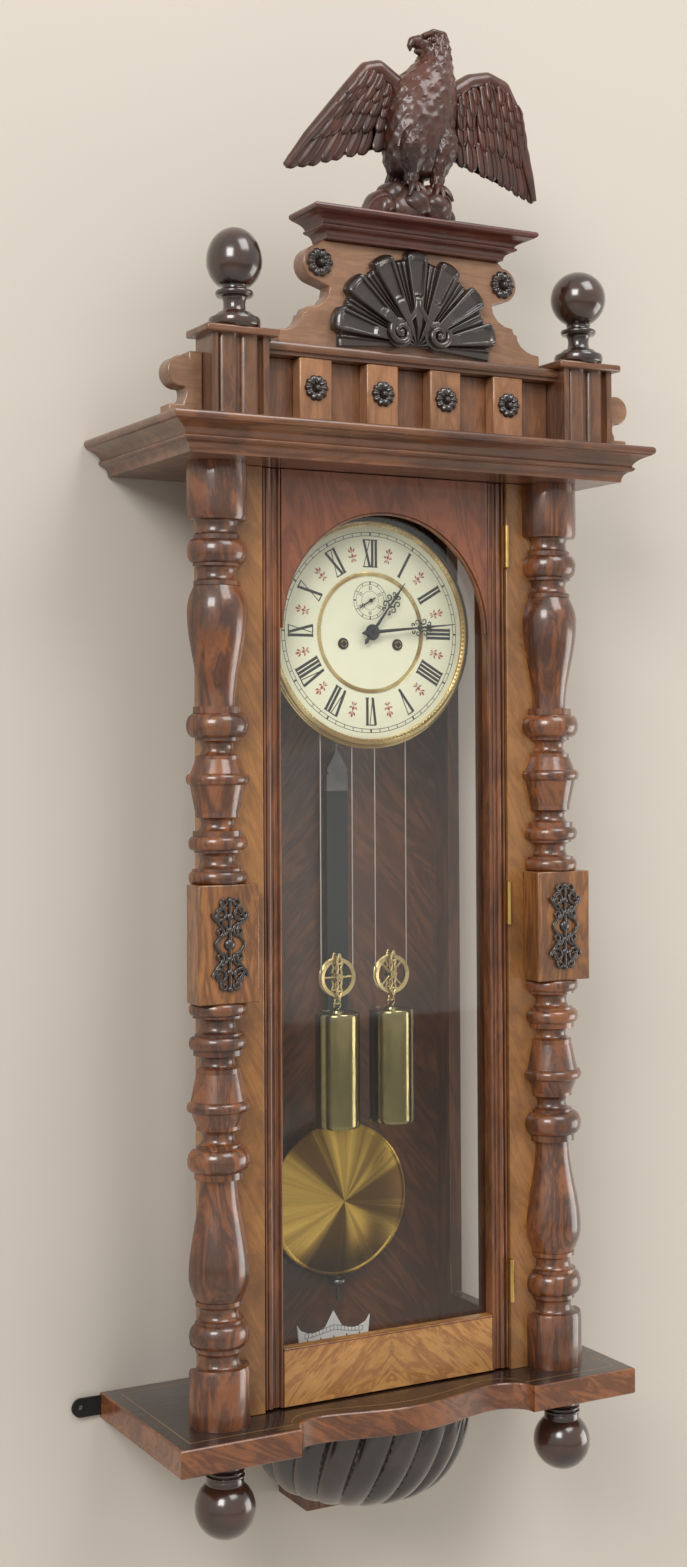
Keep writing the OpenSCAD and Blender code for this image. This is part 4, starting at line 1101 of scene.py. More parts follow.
ink_and_hole_shade_parts = []
HOURS = ["XII", "I", "II", "III", "IIII", "V", "VI", "VII", "VIII", "IX", "X", "XI"]
for hour, word in enumerate(HOURS):
    for k, quad in enumerate(roman(word, math.radians(30 * hour), 0.0585, 0.0825, 0.0025)):
        ink_and_hole_shade_parts.append(inlaid(quad, enamel_y - 0.00002 * (k % 3)))
for radius in (0.0862, 0.0893):
    ink_and_hole_shade_parts.append(ring_line(radius, 0.00045, enamel_y, around=180))
for minute in range(60):
    a = math.radians(6 * minute)
    sin, cos = math.sin(a), math.cos(a)
    w = 0.00075 if minute % 5 == 0 else 0.00028
    quad = [(-w, 0.0862), (w, 0.0862), (w, 0.0893), (-w, 0.0893)]
    ink_and_hole_shade_parts.append(inlaid([(x * cos + y * sin, -x * sin + y * cos) for x, y in quad], enamel_y))
sunk = enamel_y + 0.0006
for radius, width in ((0.0168, 0.0004), (0.0142, 0.0003), (0.0085, 0.00025)):
    ink_and_hole_shade_parts.append(ring_line(radius, width, sunk, (0.0, seconds_z), 96))
for second in range(0, 60, 5):
    a = math.radians(6 * second)
    sin, cos = math.sin(a), math.cos(a)
    w = 0.0006 if second % 15 == 0 else 0.0003
    quad = [(-w, 0.0142), (w, 0.0142), (w, 0.0168), (-w, 0.0168)]
    ink_and_hole_shade_parts.append(inlaid([(x * cos + y * sin, seconds_z - x * sin + y * cos) for x, y in quad], sunk))
# Black discs where the winding holes are: painted shade for the dark inside of holes that the enamel doesn't have.
for side in (-1, 1):
    ink_and_hole_shade_parts.append(ring_line(0.00225, 0.0041, enamel_y + 0.0006, (side * winding_x, winding_z), 32))
for step in range(6):
    a = math.radians(60 * step)
    sin, cos = math.sin(a), math.cos(a)
    for x0 in (-0.0011, 0.0007):
        quad = [(x0, 0.0096), (x0 + 0.0006, 0.0096), (x0 + 0.0006, 0.0129), (x0, 0.0129)]
        ink_and_hole_shade_parts.append(inlaid([(x * cos + y * sin, seconds_z - x * sin + y * cos) for x, y in quad], sunk))
black_ink = lacquer("black_dial_ink", tone(30, 28, 30), tone(20, 19, 21), 0.3, 0.3)
build("dial_print_and_hole_shade", ink_and_hole_shade_parts, black_ink, "case", (), 30.0)

# Sprigs: a bell flower on a short stem with two curled tendrils and leaves.
sprig_parts = []
for gap in range(12):
    a = math.radians(30 * gap + 15)
    sin, cos = math.sin(a), math.cos(a)
    shapes = []
    for x, y, rx, ry, lean_by in (
        (0, 0.0050, 0.0009, 0.0017, 0), (-0.0019, 0.0036, 0.0007, 0.0015, 0.6), (0.0019, 0.0036, 0.0007, 0.0015, -0.6),
        (0, -0.0004, 0.0012, 0.0012, 0), (-0.0024, -0.0010, 0.0006, 0.0014, 1.1), (0.0024, -0.0010, 0.0006, 0.0014, -1.1),
        (-0.0014, -0.0042, 0.0005, 0.0013, -0.5), (0.0014, -0.0042, 0.0005, 0.0013, 0.5), (0, 0.0020, 0.00025, 0.0026, 0),
        (0, -0.0032, 0.00025, 0.0026, 0),
    ):
        t = np.linspace(0, 2 * math.pi, 14, endpoint=False)
        ex, ey = rx * np.cos(t), ry * np.sin(t)
        shapes.append(np.stack([x + ex * math.cos(lean_by) - ey * math.sin(lean_by),
                                y + ex * math.sin(lean_by) + ey * math.cos(lean_by)], axis=1))
    for k, shape in enumerate(shapes):
        x, y = shape[:, 0] * 1.15, shape[:, 1] * 1.15 + 0.0705
        turned = np.stack([x * cos + y * sin, -x * sin + y * cos], axis=1)
        sprig_parts.append(inlaid(turned, enamel_y - 0.00002 * (k % 3)))
rust_ink = lacquer("rust_dial_ink", tone(176, 84, 58), tone(140, 60, 44), 0.4, 0.2)
build("dial_sprigs", sprig_parts, rust_ink, "case", (), 30.0)

# Spun brass bezel with a milled inner edge, and the fine ring round the sunk centre.
ring_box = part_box("dial_rings")
base = ring_box[1][1]
s = np.linspace(0, math.pi / 2, 7)
bezel = [[enamel_r, base]]
bezel += [[0.1034, base], [0.1034, base - 0.0030]]
bezel += [[0.1034 - 0.0016 * math.sin(t), base - 0.0030 - 0.0016 * (1 - math.cos(t))] for t in s]
bezel += [[0.1010, base - 0.0050]]
bezel += [[0.1010 - 0.0022 * (1 - math.cos(t)), base - 0.0050 - 0.0024 * math.sin(t)] for t in s]
bezel += [[0.0976, base - 0.0074], [0.0968, base - 0.0060], [enamel_r, base - 0.0046], [enamel_r, base]]
# Its colour carries painted highlights: fine bright radial streaks round the dial's centre.
brass_rings = metal("spun_brass_painted_rays", tone(216, 196, 138), tone(160, 134, 82), 0.22, (0.0, DIAL_Z))
beads = 150
milling = []
angle = np.linspace(0, 2 * math.pi, beads, endpoint=False)
for t in angle:
    milling.append(dome((0.0962 * math.sin(t), DIAL_Z + 0.0962 * math.cos(t)), 0.0013, base - 0.0048, 0.0014, 3, 6))
inner_ring = facing([[0.0503, enamel_y + 0.0004], [0.0543, enamel_y + 0.0004], [0.0541, enamel_y - 0.0008],
                     [0.0528, enamel_y - 0.0013], [0.0510, enamel_y - 0.0010], [0.0503, enamel_y + 0.0004]])
build("dial_bezel", [facing(bezel, around=160), inner_ring], brass_rings, "case", ["dial_rings"], 32.0)
build("bezel_milling", milling, brass_rings, "case", (), 60.0)
sockets = [facing([[0.0043, enamel_y + 0.0015], [0.0052, enamel_y + 0.0006], [0.0050, enamel_y - 0.0004],
                   [0.0043, enamel_y - 0.0004], [0.0043, enamel_y + 0.0015]],
                  side * winding_x, DIAL_Z + winding_z, 32) for side in (-1, 1)]
build("winding_eyelets", sockets, blue_steel, "case", (), 40.0)
# The squares that the winding key fits turn with the barrels.
for train, side in (("time", 1), ("strike", -1)):
    pin = np.array([[side * winding_x, y, DIAL_Z + winding_z] for y in (-0.0911, -0.0890, -0.0862)])
    build(train + "_winding_end", [tube(pin, 0.0031, 4)], blue_steel, train + "_drum", (), 30.0)

# --- Carved shell ---------------------------------------------------------------------------------
# A fan carved in one piece: seven broad ribs with sunk panels, two thin ridges between each pair,
# and two scrolls at the foot. Lacquered blackish brown.
crest_y = -0.166
foot_z = DIAL_Z + 0.241
rings, spread = 64, 561
u = np.linspace(0, 1, rings)[:, None]
a = np.radians(np.linspace(184, -4, spread))[None, :]
part = (math.pi - a) / math.pi * 7
off = np.abs(part - np.floor(part) - 0.5)
off = np.where((part < 0) | (part > 7), 0.5, off)
broad = 1 / (1 + np.exp((off - 0.315) * 70))
panel = (1 / (1 + np.exp((off - 0.19) * 160))) * (1 / (1 + np.exp((np.abs(u - 0.72) - 0.20) * 110)))
ridge = np.maximum(0, 1 - ((off - 0.425) / 0.055) ** 2)
rim = (0.0758 + 0.0072 * broad * np.cos(off * math.pi * 0.8)) * np.ones_like(u)
edge = np.sqrt(np.clip((1 - u) / 0.045, 0, 1))
rise = 0.0046 + 0.0040 * (1 - u) + broad * (0.0052 - 0.0024 * (1 - u)) + 0.0026 * ridge - 0.0032 * panel
rise = rise * (0.35 + 0.65 * edge) * (0.6 + 0.4 * np.clip(u / 0.2, 0, 1))
shell = np.stack([u * rim * np.cos(a), crest_y - rise, foot_z + u * rim * np.sin(a)], axis=-1)
skirt = shell[-1] * np.array([1, 0, 1]) + np.array([0, crest_y, 0])
points = np.concatenate([shell.reshape(-1, 3), skirt, [[0, crest_y, foot_z]]])
last = len(points) - 1
faces = grid_faces(rings + 1, spread)
for column in (0, spread - 1):
    faces.append([k * spread + column for k in range(rings + 1)] + [last])
faces.append([rings * spread + k for k in range(spread)] + [last])
shell_parts = [(points, faces)]
for side in (-1, 1):
    centre = (side * 0.019, DIAL_Z + 0.251)
    shell_parts.append(dome(centre, 0.0128, crest_y - 0.0094, 0.0008, 5, 40))
    shell_parts.append(facing([[0.0, crest_y], [0.0128, crest_y], [0.0128, crest_y - 0.0095], [0.0, crest_y - 0.0095]],
                              centre[0], centre[1], 40))
    shell_parts.append(curl(centre, 0.0102, 1.45, 90 - side * 60, 0.0033, crest_y - 0.0124, -side, 70))
    shell_parts.append(dome(centre, 0.0032, crest_y - 0.011, 0.0046, 6, 20))
    t = np.linspace(0, 1, 26)
    stalk = np.stack([side * (0.0018 + 0.0112 * np.sin(t * math.pi / 2) ** 3), crest_y - 0.0098 + 0.002 * t,
                      foot_z + 0.0385 - 0.0250 * t], axis=1)
    shell_parts.append(tube(stalk, 0.0032 - 0.0010 * np.abs(2 * t - 1)))
shell_gloss = lacquer("shell_lacquer", tone(50, 35, 29), tone(20, 13, 11), 0.2, 0.9)
build("carved_shell", shell_parts, shell_gloss, "case", ["crest_shell"], 42.0)

# --- Eagle ----------------------------------------------------------------------------------------
# Carved walnut, stained dark red-brown: an eagle on a rock, wings half raised, head to the left.
# The breast is scaled with small feathers, the wings have rows of coverts over long quills.
eagle_y = -0.171
rng = np.random.default_rng(7)


def station(points, t):
    """Smooth values at t, 0 to 1, through evenly spaced stations, by a cosine-eased blend."""
    points = np.asarray(points, float)
    s = np.clip(np.asarray(t) * (len(points) - 1), 0, len(points) - 1 - 1e-9)
    k = s.astype(int)
    f = s - k
    f = f * f * (3 - 2 * f) * 0.5 + f * 0.5
    f = f.reshape(f.shape + (1,) * (points.ndim - 1))
    return points[k] * (1 - f) + points[k + 1] * f


def plumed(stations, rows=110, around=120, feather=0.0016, cell=0.0085, depth_at=eagle_y, cells=15):
    """A lofted trunk of (x, height, half width, half depth, depth offset) stations, in mm.

    Small overlapping feathers are a sawtooth down the trunk whose edge is bent by a cosine round it,
    shifted by half a feather on every second row.
    """
    t = np.linspace(0, 1, rows)
    at = station(stations, t) * MM
    angle = np.linspace(0, 2 * math.pi, around, endpoint=False)[None, :]
    down = (at[:, 1].max() - at[:, 1])[:, None] / cell
    wave = cells * angle
    saw = (down + 0.26 * np.cos(wave + math.pi * np.floor(down))) % 1.0
    lift = feather * (saw ** 1.5) * (0.6 + 0.4 * np.cos(wave + math.pi * np.floor(down)))
    ends = np.sqrt(np.clip(np.minimum(t, 1 - t) / 0.03, 0, 1))[:, None]
    x = at[:, 0][:, None] + (at[:, 2][:, None] + lift) * np.cos(angle) * ends
    y = depth_at + at[:, 4][:, None] + (at[:, 3][:, None] + lift) * np.sin(angle) * ends
    z = DIAL_Z + at[:, 1][:, None] + 0 * angle
    points = np.stack([x, y, z], axis=-1).reshape(-1, 3)
    faces = grid_faces(rows, around, wrap_columns=True)
    faces += [list(range(around))[::-1], [len(points) - around + k for k in range(around)]]
    return points, faces


def blade(root, tip, width, depth, thick=0.0022, bend=0.0, rows=22, round_tip=0.5):
    """One feather facing -Y, in mm points: a lens with a raised quill and fine slanting barbs.

    Its half width is a sine run up and an elliptic tip; bend moves its middle sideways.
    """
    root, tip = np.asarray(root, float) * MM, np.asarray(tip, float) * MM
    t = np.linspace(0, 1, rows)
    along = tip - root
    side = np.array([-along[1], along[0]]) / np.hypot(*along)
    mid = root + along * t[:, None] + side * (bend * MM * np.sin(math.pi * t))[:, None]
    half = width * MM / 2 * np.sqrt(np.clip(1 - np.clip((t - 1 + round_tip) / round_tip, 0, 1) ** 2.4, 0.0004, 1))
    half = half * (0.55 + 0.45 * np.sin(np.minimum(t * 1.6, 1) * math.pi / 2))
    across = np.array([-1, -0.82, -0.45, -0.16, -0.05, 0.05, 0.16, 0.45, 0.82, 1.0])
    profile = np.array([0.0, 0.62, 0.86, 0.92, 1.35, 1.35, 0.92, 0.86, 0.62, 0.0])
    body = np.sqrt(np.clip(1 - (2 * t - 1) ** 8, 0, 1))[:, None]
    x = mid[:, 0][:, None] + half[:, None] * across * side[0]
    z = mid[:, 1][:, None] + half[:, None] * across * side[1]
    top = depth - thick * profile[None, :] * body
    under = depth + 0.0012 * np.abs(1 - np.abs(across))[None, :] * body
    front = np.stack([x, top, DIAL_Z + z], axis=-1)
    rear = np.stack([x, under, DIAL_Z + z], axis=-1)[:, ::-1][:, 1:-1]
    ring = np.concatenate([front, rear], axis=1)
    count = ring.shape[1]
    faces = grid_faces(rows, count, wrap_columns=True)
    faces += [list(range(count))[::-1], [(rows - 1) * count + k for k in range(count)]]
    return ring.reshape(-1, 3), faces


def lump(centre, radii, rough, rows=26, around=40):
    """A rough boulder: an ellipsoid whose radius carries a few random waves."""
    u = np.linspace(0, math.pi, rows)[:, None]
    v = np.linspace(0, 2 * math.pi, around, endpoint=False)[None, :]
    d = np.stack([np.sin(u) * np.cos(v), np.sin(u) * np.sin(v), np.cos(u) + 0 * v], axis=-1)
    swell = np.ones((rows, around))
    for _ in range(6):
        way = rng.normal(size=3)
        swell += rough * np.sin(d @ way * 2.6 + rng.uniform(0, 6.28)) * 0.4
    points = d * swell[..., None] * np.asarray(radii) * MM + np.array([centre[0] * MM, eagle_y + centre[2] * MM, DIAL_Z + centre[1] * MM])
    return points.reshape(-1, 3), grid_faces(rows, around, wrap_columns=True)


cap_top = DIAL_Z + 0.348
eagle_parts = [
    plumed([(-3, 384, 17, 15, 2), (-1, 396, 27, 19, 1), (0, 408, 30, 22, 0), (1, 420, 31, 24, -1), (3, 434, 32, 25, -1),
            (5, 448, 33, 25, 0), (7, 460, 32, 24, 0), (10, 470, 28, 22, 0), (14, 479, 22, 19, 0), (18, 487, 17, 16, 0),
            (20, 494, 14.5, 14, 0), (20, 501, 13.5, 13, 0), (19, 507, 13, 12.4, 0), (18, 512, 11.5, 11, 0), (17, 515.6, 6.5, 6.5, 0)]),
    plumed([(-9, 430, 6, 5, -16), (-10, 420, 12, 10, -17), (-11, 408, 13, 11, -16), (-11, 396, 10, 9, -13), (-10, 386, 6, 6, -10),
            (-10, 376, 5, 5, -10)], 60, 72, 0.0012, 0.007, eagle_y, 10),
    plumed([(20, 430, 6, 5, -14), (21, 420, 11, 10, -15), (20, 408, 12, 11, -14), (18, 396, 9, 9, -12), (16, 386, 6, 6, -10),
            (15, 376, 5, 5, -10)], 60, 72, 0.0012, 0.007, eagle_y, 10),
]
# Head: a flat brow, a sunk eye, and a heavy beak hooked downwards.
for path, radius in (
    ([(12, 502, 0), (4, 505, 0), (-2, 504.6, 0), (-4.8, 500.5, 0), (-4.6, 496, 0)], [8.4, 6.6, 4.6, 2.8, 0.8]),
    ([(12, 497.5, 0), (5, 497, 0), (0, 496.8, 0)], [6.0, 3.8, 1.8]),
    ([(4, 508, -8), (13, 512.4, -9.5), (24, 512.0, -8.5), (31, 507.5, -4)], [1.8, 2.8, 3.0, 2.0]),
    ([(4, 508, 8), (13, 512.4, 9.5), (24, 512.0, 8.5), (31, 507.5, 4)], [1.8, 2.8, 3.0, 2.0]),
):
    t = np.linspace(0, 1, 24)
    p = station(path, t) * MM
    bent = np.stack([p[:, 0], eagle_y + p[:, 2], DIAL_Z + p[:, 1]], axis=1)
    eagle_parts.append(tube(bent, station(radius, t) * MM, 18))
for y in (-12.0, 12.0):
    eagle_parts.append(lump((11.5, 505.0, y), (2.2, 1.8, 2.2), 0.0, 12, 16))
# Tail feathers behind the legs, the rock, and three claws on each foot.
for k in range(5):
    eagle_parts.append(blade((-10 + 4 * k, 412), (-27 + 8.5 * k, 362 + 1.5 * abs(k - 2)), 10, eagle_y + 0.008 - 0.0008 * k, 0.0024))
for x, z, y, r in ((-33, 356, 2, 17), (-37, 353, -8, 13), (-14, 356, -6, 20), (8, 354, -4, 21), (22, 354, 2, 15), (-22, 368, 3, 14),
                   (-2, 368, 4, 19), (14, 368, 0, 15), (-8, 360, -15, 13), (10, 358, -15, 12), (-28, 352, 12, 14), (12, 354, 13, 15)):
    eagle_parts.append(lump((x, z, y), (r, r * 0.9, r * 0.92), 0.12))
for foot in (-10, 15):
    for spread_x in (-9, 0, 9):
        t = np.linspace(0, 1, 16)
        toe = np.stack([foot + spread_x * t, -10 - 12 * np.sin(t * math.pi / 2), 378 - 14 * t ** 1.6], axis=1) * MM
        toe += np.array([0, eagle_y, DIAL_Z])
        eagle_parts.append(tube(toe, (3.4 - 2.2 * t ** 2) * MM, 12))
trimmed = []
for points, faces in eagle_parts:
    points = np.array(points)
    points[:, 2] = np.maximum(points[:, 2], cap_top)
    trimmed.append((points, faces))
eagle_wood = wood("eagle_walnut", tone(98, 52, 36), tone(40, 19, 13), (0, 90, 0), 0.35, 1.6, 0.35, 0.9)
build("eagle_and_rock", trimmed, eagle_wood, "case", ["eagle_body"], 50.0)


def wing(leading, roots, tips, lift):
    """Feathers of one wing, in mm: long quills from roots to tips, then shorter rows on top."""
    parts = []
    # Each row: how far its feathers reach, how many there are, their width, and how far they stand out.
    for far, count, width, out in ((1.0, 10, 12.5, 0.0), (0.70, 9, 11.5, 2.4), (0.50, 9, 10.5, 4.4), (0.34, 8, 9.0, 6.0), (0.20, 7, 8.0, 7.2)):
        t = np.linspace(0, 1, count)
        root = station(roots, t)
        tip = station(tips, t)
        for k in range(count):
            end = root[k] + (tip[k] - root[k]) * far
            base = root[k] + (tip[k] - root[k]) * max(0.0, far - 0.42)
            y = eagle_y + lift - out * MM - 0.0004 * (k % 2)
            parts.append(blade(base, end, width, y, 0.0026, 1.5, 18, 0.35 if far == 1.0 else 0.5))
    t = np.linspace(0, 1, 60)
    edge = station(leading, t)
    # The plate that the feathers are carved on closes the gaps between them.
    web = np.concatenate([edge[:, :2], station(roots, t)[::-1][:1] * [1, 1] + [0, -6], (0.94 * station(tips, t) + 0.06 * station(roots, t))[::-1]])
    sheet = np.column_stack([web[:, 0] * MM, np.zeros(len(web)), DIAL_Z + web[:, 1] * MM])
    near, away = sheet + [0, eagle_y + lift - 0.001, 0], sheet + [0, eagle_y + lift + 0.003, 0]
    count = len(web)
    parts.append((np.concatenate([near, away]), grid_faces(2, count, wrap_columns=True)
                  + [list(range(count)), list(range(2 * count - 1, count - 1, -1))]))
    path = np.stack([edge[:, 0], np.zeros(60), edge[:, 1]], axis=1) * MM + np.array([0, eagle_y + lift - 0.002, DIAL_Z])
    parts.append(tube(path, edge[:, 2] * MM, 20))
    return parts


left = wing(
    [(-12, 460, 9), (-24, 468, 8), (-36, 476, 7.5), (-48, 473, 7), (-64, 455, 6.5), (-84, 432, 5.5), (-104, 409, 4.5), (-125, 382, 2.6)],
    [(-58, 464), (-46, 474), (-35, 470), (-26, 460), (-14, 448)],
    [(-124, 380), (-104, 384), (-84, 391), (-62, 398), (-36, 405), (-24, 412)], 0.003)
right = wing(
    [(26, 460, 9), (40, 467, 8), (56, 478, 7.5), (74, 483, 7), (90, 478, 7), (101, 460, 6.5), (110, 430, 5.5), (118, 402, 4.5), (123, 382, 2.8)],
    [(101, 464), (88, 478), (70, 479), (51, 470), (32, 456)],
    [(122, 380), (108, 384), (94, 390), (78, 395), (58, 400), (38, 406)], 0.003)
build("eagle_left_wing", left, eagle_wood, "case", ["eagle_wing_left"], 50.0)
build("eagle_right_wing", right, eagle_wood, "case", ["eagle_wing_right"], 50.0)

# --- Hands ----------------------------------------------------------------------------------------
# Blackened steel in a serpentine pattern: a round pierced boss, a thin arm, a cluster of scrolls
# and a fine point. The minute hand's arbor runs back through the works.
hand_steel = lacquer("hand_steel", tone(38, 38, 42), tone(22, 22, 26), 0.3, 0.3, 300.0, 0.6)


def turned_by(part, degrees, centre_z=DIAL_Z):
    """The same part turned clockwise, as seen from the front, about an axis through the dial."""
    a = math.radians(degrees)
    points = np.array(part[0])
    x, z = points[:, 0].copy(), points[:, 2] - centre_z
    points[:, 0] = x * math.cos(a) + z * math.sin(a)
    points[:, 2] = centre_z + z * math.cos(a) - x * math.sin(a)
    return points, part[1]


def flattened(part, depth, share=0.45):
    """The same part pressed flat towards one depth."""
    points = np.array(part[0])
    points[:, 1] = depth + (points[:, 1] - depth) * share
    return points, part[1]


def serpentine(degrees, reach, cluster, boss, depth):
    """A hand as parts: boss, arm, six scrolls round the cluster's place, leaf and point."""
    def bar(stations):
        p = np.asarray(stations, float) * MM
        return tube(np.stack([p[:, 0], np.full(len(p), depth), DIAL_Z + p[:, 1]], axis=1), p[:, 2], 12)

    parts = [
        bar([(0, 0, 1.7), (0, cluster * 0.5, 1.3), (0, cluster - 9, 1.0)]),
        bar([(0, cluster - 9, 0.8), (0, cluster, 0.9), (0, cluster + 8, 1.5), (0, cluster + 13, 0.9), (0, reach, 0.35)]),
        bar([(0, -boss, 1.5), (0, -boss - 3, 2.2), (0, -boss - 6.5, 0.4)]),
        dome((0, DIAL_Z), boss * MM, depth + 0.0004, 0.0006, 4, 32),
    ]
    for hand in (-1, 1):
        for x, z, r, start, turns in (
            (4.6, cluster - 4.5, 3.6, 180, 1.1), (5.6, cluster + 2.5, 3.2, 250, 1.1), (3.2, cluster + 8.0, 2.4, 250, 1.0),
            (3.0, cluster - 9.5, 2.0, 120, 0.9),
        ):
            begin = start if hand > 0 else 180 - start
            parts.append(curl((hand * x * MM, DIAL_Z + z * MM), r * MM, turns, begin, 0.75 * MM, depth, -hand, 26))
    return [turned_by(flattened(part, depth), degrees) for part in parts]


hour_parts = serpentine(37, 56, 33, 7.2, -0.0935)
hour_parts.append(tube(np.array([[0, -0.0935, DIAL_Z], [0, -0.0905, DIAL_Z], [0, -0.0872, DIAL_Z]]), 0.0031, 24))
build("serpentine_hour_hand", hour_parts, hand_steel, "hour_pipe", ["hour_hand"], 50.0)
minute_parts = serpentine(84, 84, 50, 6.0, -0.0959)
minute_parts.append(tube(np.array([[0, -0.0976, DIAL_Z], [0, -0.08, DIAL_Z], [0, -0.0406, DIAL_Z]]), 0.0016, 20))
build("serpentine_minute_hand", minute_parts, hand_steel, "minute_arbor", ["minute_hand"], 50.0)
finish_node("seconds_hand", hand_steel)

# --- Weights, pulleys and lines -------------------------------------------------------------------
# Polished brass shells, each hung by a hook from a pierced stirrup whose four-spoked pulley rides
# in a loop of steel line. One strand comes off the barrel; the other is fixed to the movement.
weight_brass = metal("weight_brass", tone(146, 136, 94), tone(92, 86, 56), 0.14)
pulley_brass = metal("pulley_brass", tone(206, 186, 130), tone(130, 108, 62), 0.26)
line_steel = metal("steel_line", tone(200, 196, 188), tone(140, 136, 128), 0.35)
line_y = -0.075
line_top = DIAL_Z - 0.012
strand_top = DIAL_Z - 0.050
pulley_z = DIAL_Z - 0.306
for train, x, spoke_turn in (("time", 0.0277, 45), ("strike", -0.0277, 0)):
    weight_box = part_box(train + "_weight")
    low = weight_box[0][2]
    top = low + 0.101
    shell_outline = np.array([
        [0.0, low], [0.0182, low], [0.0182, low + 0.0012], [0.0194, low + 0.0004], [0.0199, low + 0.0012], [0.0200, low + 0.003],
        [0.0200, top - 0.003], [0.0199, top - 0.0012], [0.0192, top - 0.0002], [0.0172, top], [0.0165, top - 0.0008],
        [0.0062, top - 0.0002], [0.0056, top + 0.0016], [0.0030, top + 0.0026], [0.0, top + 0.0027]])
    body = moved(lathe(shell_outline, 96), (x, line_y, 0))
    t = np.linspace(0, 1, 30)
    bend = np.radians(-90 + 300 * t)
    hook = np.stack([x + 0.0034 * np.cos(bend), np.full(30, line_y), top + 0.0062 + 0.0034 * np.sin(bend)], axis=1)
    build(train + "_weight_shell", [body, tube(hook, 0.0009, 12)], weight_brass, train + "_drive_weight",
          [train + "_weight"], 32.0)

    # The stirrup: two pierced straps, pointed at both ends, joined under the pulley.
    straps = []
    for y in (line_y - 0.0048, line_y + 0.0048):
        for upward in (-1, 1):
            tip = 0.0212 if upward > 0 else 0.0192
            for hand in (-1, 1):
                run = np.array([[0.0, tip], [1.2, tip - 0.0035], [2.6, 0.0128], [1.1, 0.0078], [2.4, 0.0030]])
                spot = station(run, np.linspace(0, 1, 26))
                path = np.stack([x + hand * spot[:, 0] * MM, np.full(26, y), pulley_z + upward * spot[:, 1]], axis=1)
                straps.append(flattened(tube(path, 0.00095, 10), y, 0.6))
            cross = np.array([[x - 0.0026, y, pulley_z + upward * 0.0128], [x, y, pulley_z + upward * 0.0120],
                              [x + 0.0026, y, pulley_z + upward * 0.0128]])
            straps.append(flattened(tube(cross, 0.0009, 10), y, 0.6))
        straps.append(facing([[0.0017, y - 0.0006], [0.0034, y - 0.0006], [0.0034, y + 0.0006], [0.0017, y + 0.0006],
                              [0.0017, y - 0.0006]], x, pulley_z, 32))
    for z in (pulley_z + 0.0196, pulley_z - 0.0188):
        straps.append(tube(np.array([[x, line_y - 0.0048, z], [x, line_y, z], [x, line_y + 0.0048, z]]), 0.0010, 12))
    ring = np.radians(np.linspace(120, 400, 26))
    eye = np.stack([x + 0.0026 * np.cos(ring), np.full(26, line_y), pulley_z - 0.0212 + 0.0026 * np.sin(ring)], axis=1)
    straps.append(tube(eye, 0.0008, 10))
    build(train + "_pierced_stirrup", straps, pulley_brass, train + "_drive_weight", [train + "_stirrup"], 50.0)

    # The pulley: a grooved rim, four thin spokes and a hub on its pin.
    rim = [[0.0138, line_y - 0.0022], [0.0172, line_y - 0.0030], [0.0172, line_y - 0.0020], [0.0150, line_y],
           [0.0172, line_y + 0.0020], [0.0172, line_y + 0.0030], [0.0138, line_y + 0.0022], [0.0138, line_y - 0.0022]]
    wheel = [facing(rim, x, pulley_z, 80)]
    for k in range(4):
        b = math.radians(spoke_turn + 90 * k)
        reach_out = np.array([0.0026, 0.008, 0.0144])
        path = np.stack([x + reach_out * math.sin(b), np.full(3, line_y), pulley_z + reach_out * math.cos(b)], axis=1)
        wheel.append(tube(path, np.array([0.0013, 0.0009, 0.0013]), 12))
    hub = [[0.0, line_y - 0.0058], [0.0015, line_y - 0.0056], [0.0015, line_y - 0.0030], [0.0032, line_y - 0.0030],
           [0.0032, line_y + 0.0030], [0.0015, line_y + 0.0030], [0.0015, line_y + 0.0056], [0.0, line_y + 0.0058]]
    wheel.append(facing(hub, x, pulley_z, 32))
    build(train + "_spoked_pulley", wheel, pulley_brass, train + "_sheave", [train + "_pulley"], 40.0)

    # The line: down from the barrel, round under the pulley and up to its fixed end.
    down = np.linspace(line_top, pulley_z, 40)
    turn_under = np.radians(np.linspace(180, 360, 33))[1:-1]
    up = np.linspace(pulley_z, strand_top, 36)
    sag = np.concatenate([
        np.stack([np.full(40, x - 0.016), np.full(40, line_y), down], axis=1),
        np.stack([x + 0.016 * np.cos(turn_under), np.full(31, line_y), pulley_z + 0.016 * np.sin(turn_under)], axis=1),
        np.stack([np.full(36, x + 0.016), np.full(36, line_y), up], axis=1)])
    strand = build(train + "_steel_line", [tube(sag, 0.00058, 8)], line_steel, None, [train + "_line"], 60.0)
    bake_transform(strand)

# --- Pendulum and beat scale ----------------------------------------------------------------------
# A flat black-stained rod, pointed at the top in a steel cap, hangs on a spring. Low on it slides a
# brass-faced, lathe-spun bob over a small rating nut; the rays that glint on it are painted highlights.
rod_y = -0.0235
rod_black = lacquer("ebonised_rod", tone(22, 20, 21), tone(12, 11, 12), 0.42, 0.1, 60.0)
rod_outline = np.array([[-0.011, -0.0026], [-0.0106, -0.0030], [0.0106, -0.0030], [0.011, -0.0026],
                        [0.011, 0.0026], [0.0106, 0.0030], [-0.0106, 0.0030], [-0.011, 0.0026]])
rod_low = DIAL_Z - 0.584
cap_low = DIAL_Z - 0.142
narrow = np.array([0.99, 1.0, 1.0])
rod_part = layered([(rod_outline * 0.98) + [0, rod_y], rod_outline + [0, rod_y], rod_outline + [0, rod_y]],
                   [rod_low, rod_low + 0.001, cap_low])
build("black_rod", [rod_part], rod_black, "pendulum", ["pendulum_rod"], 30.0)
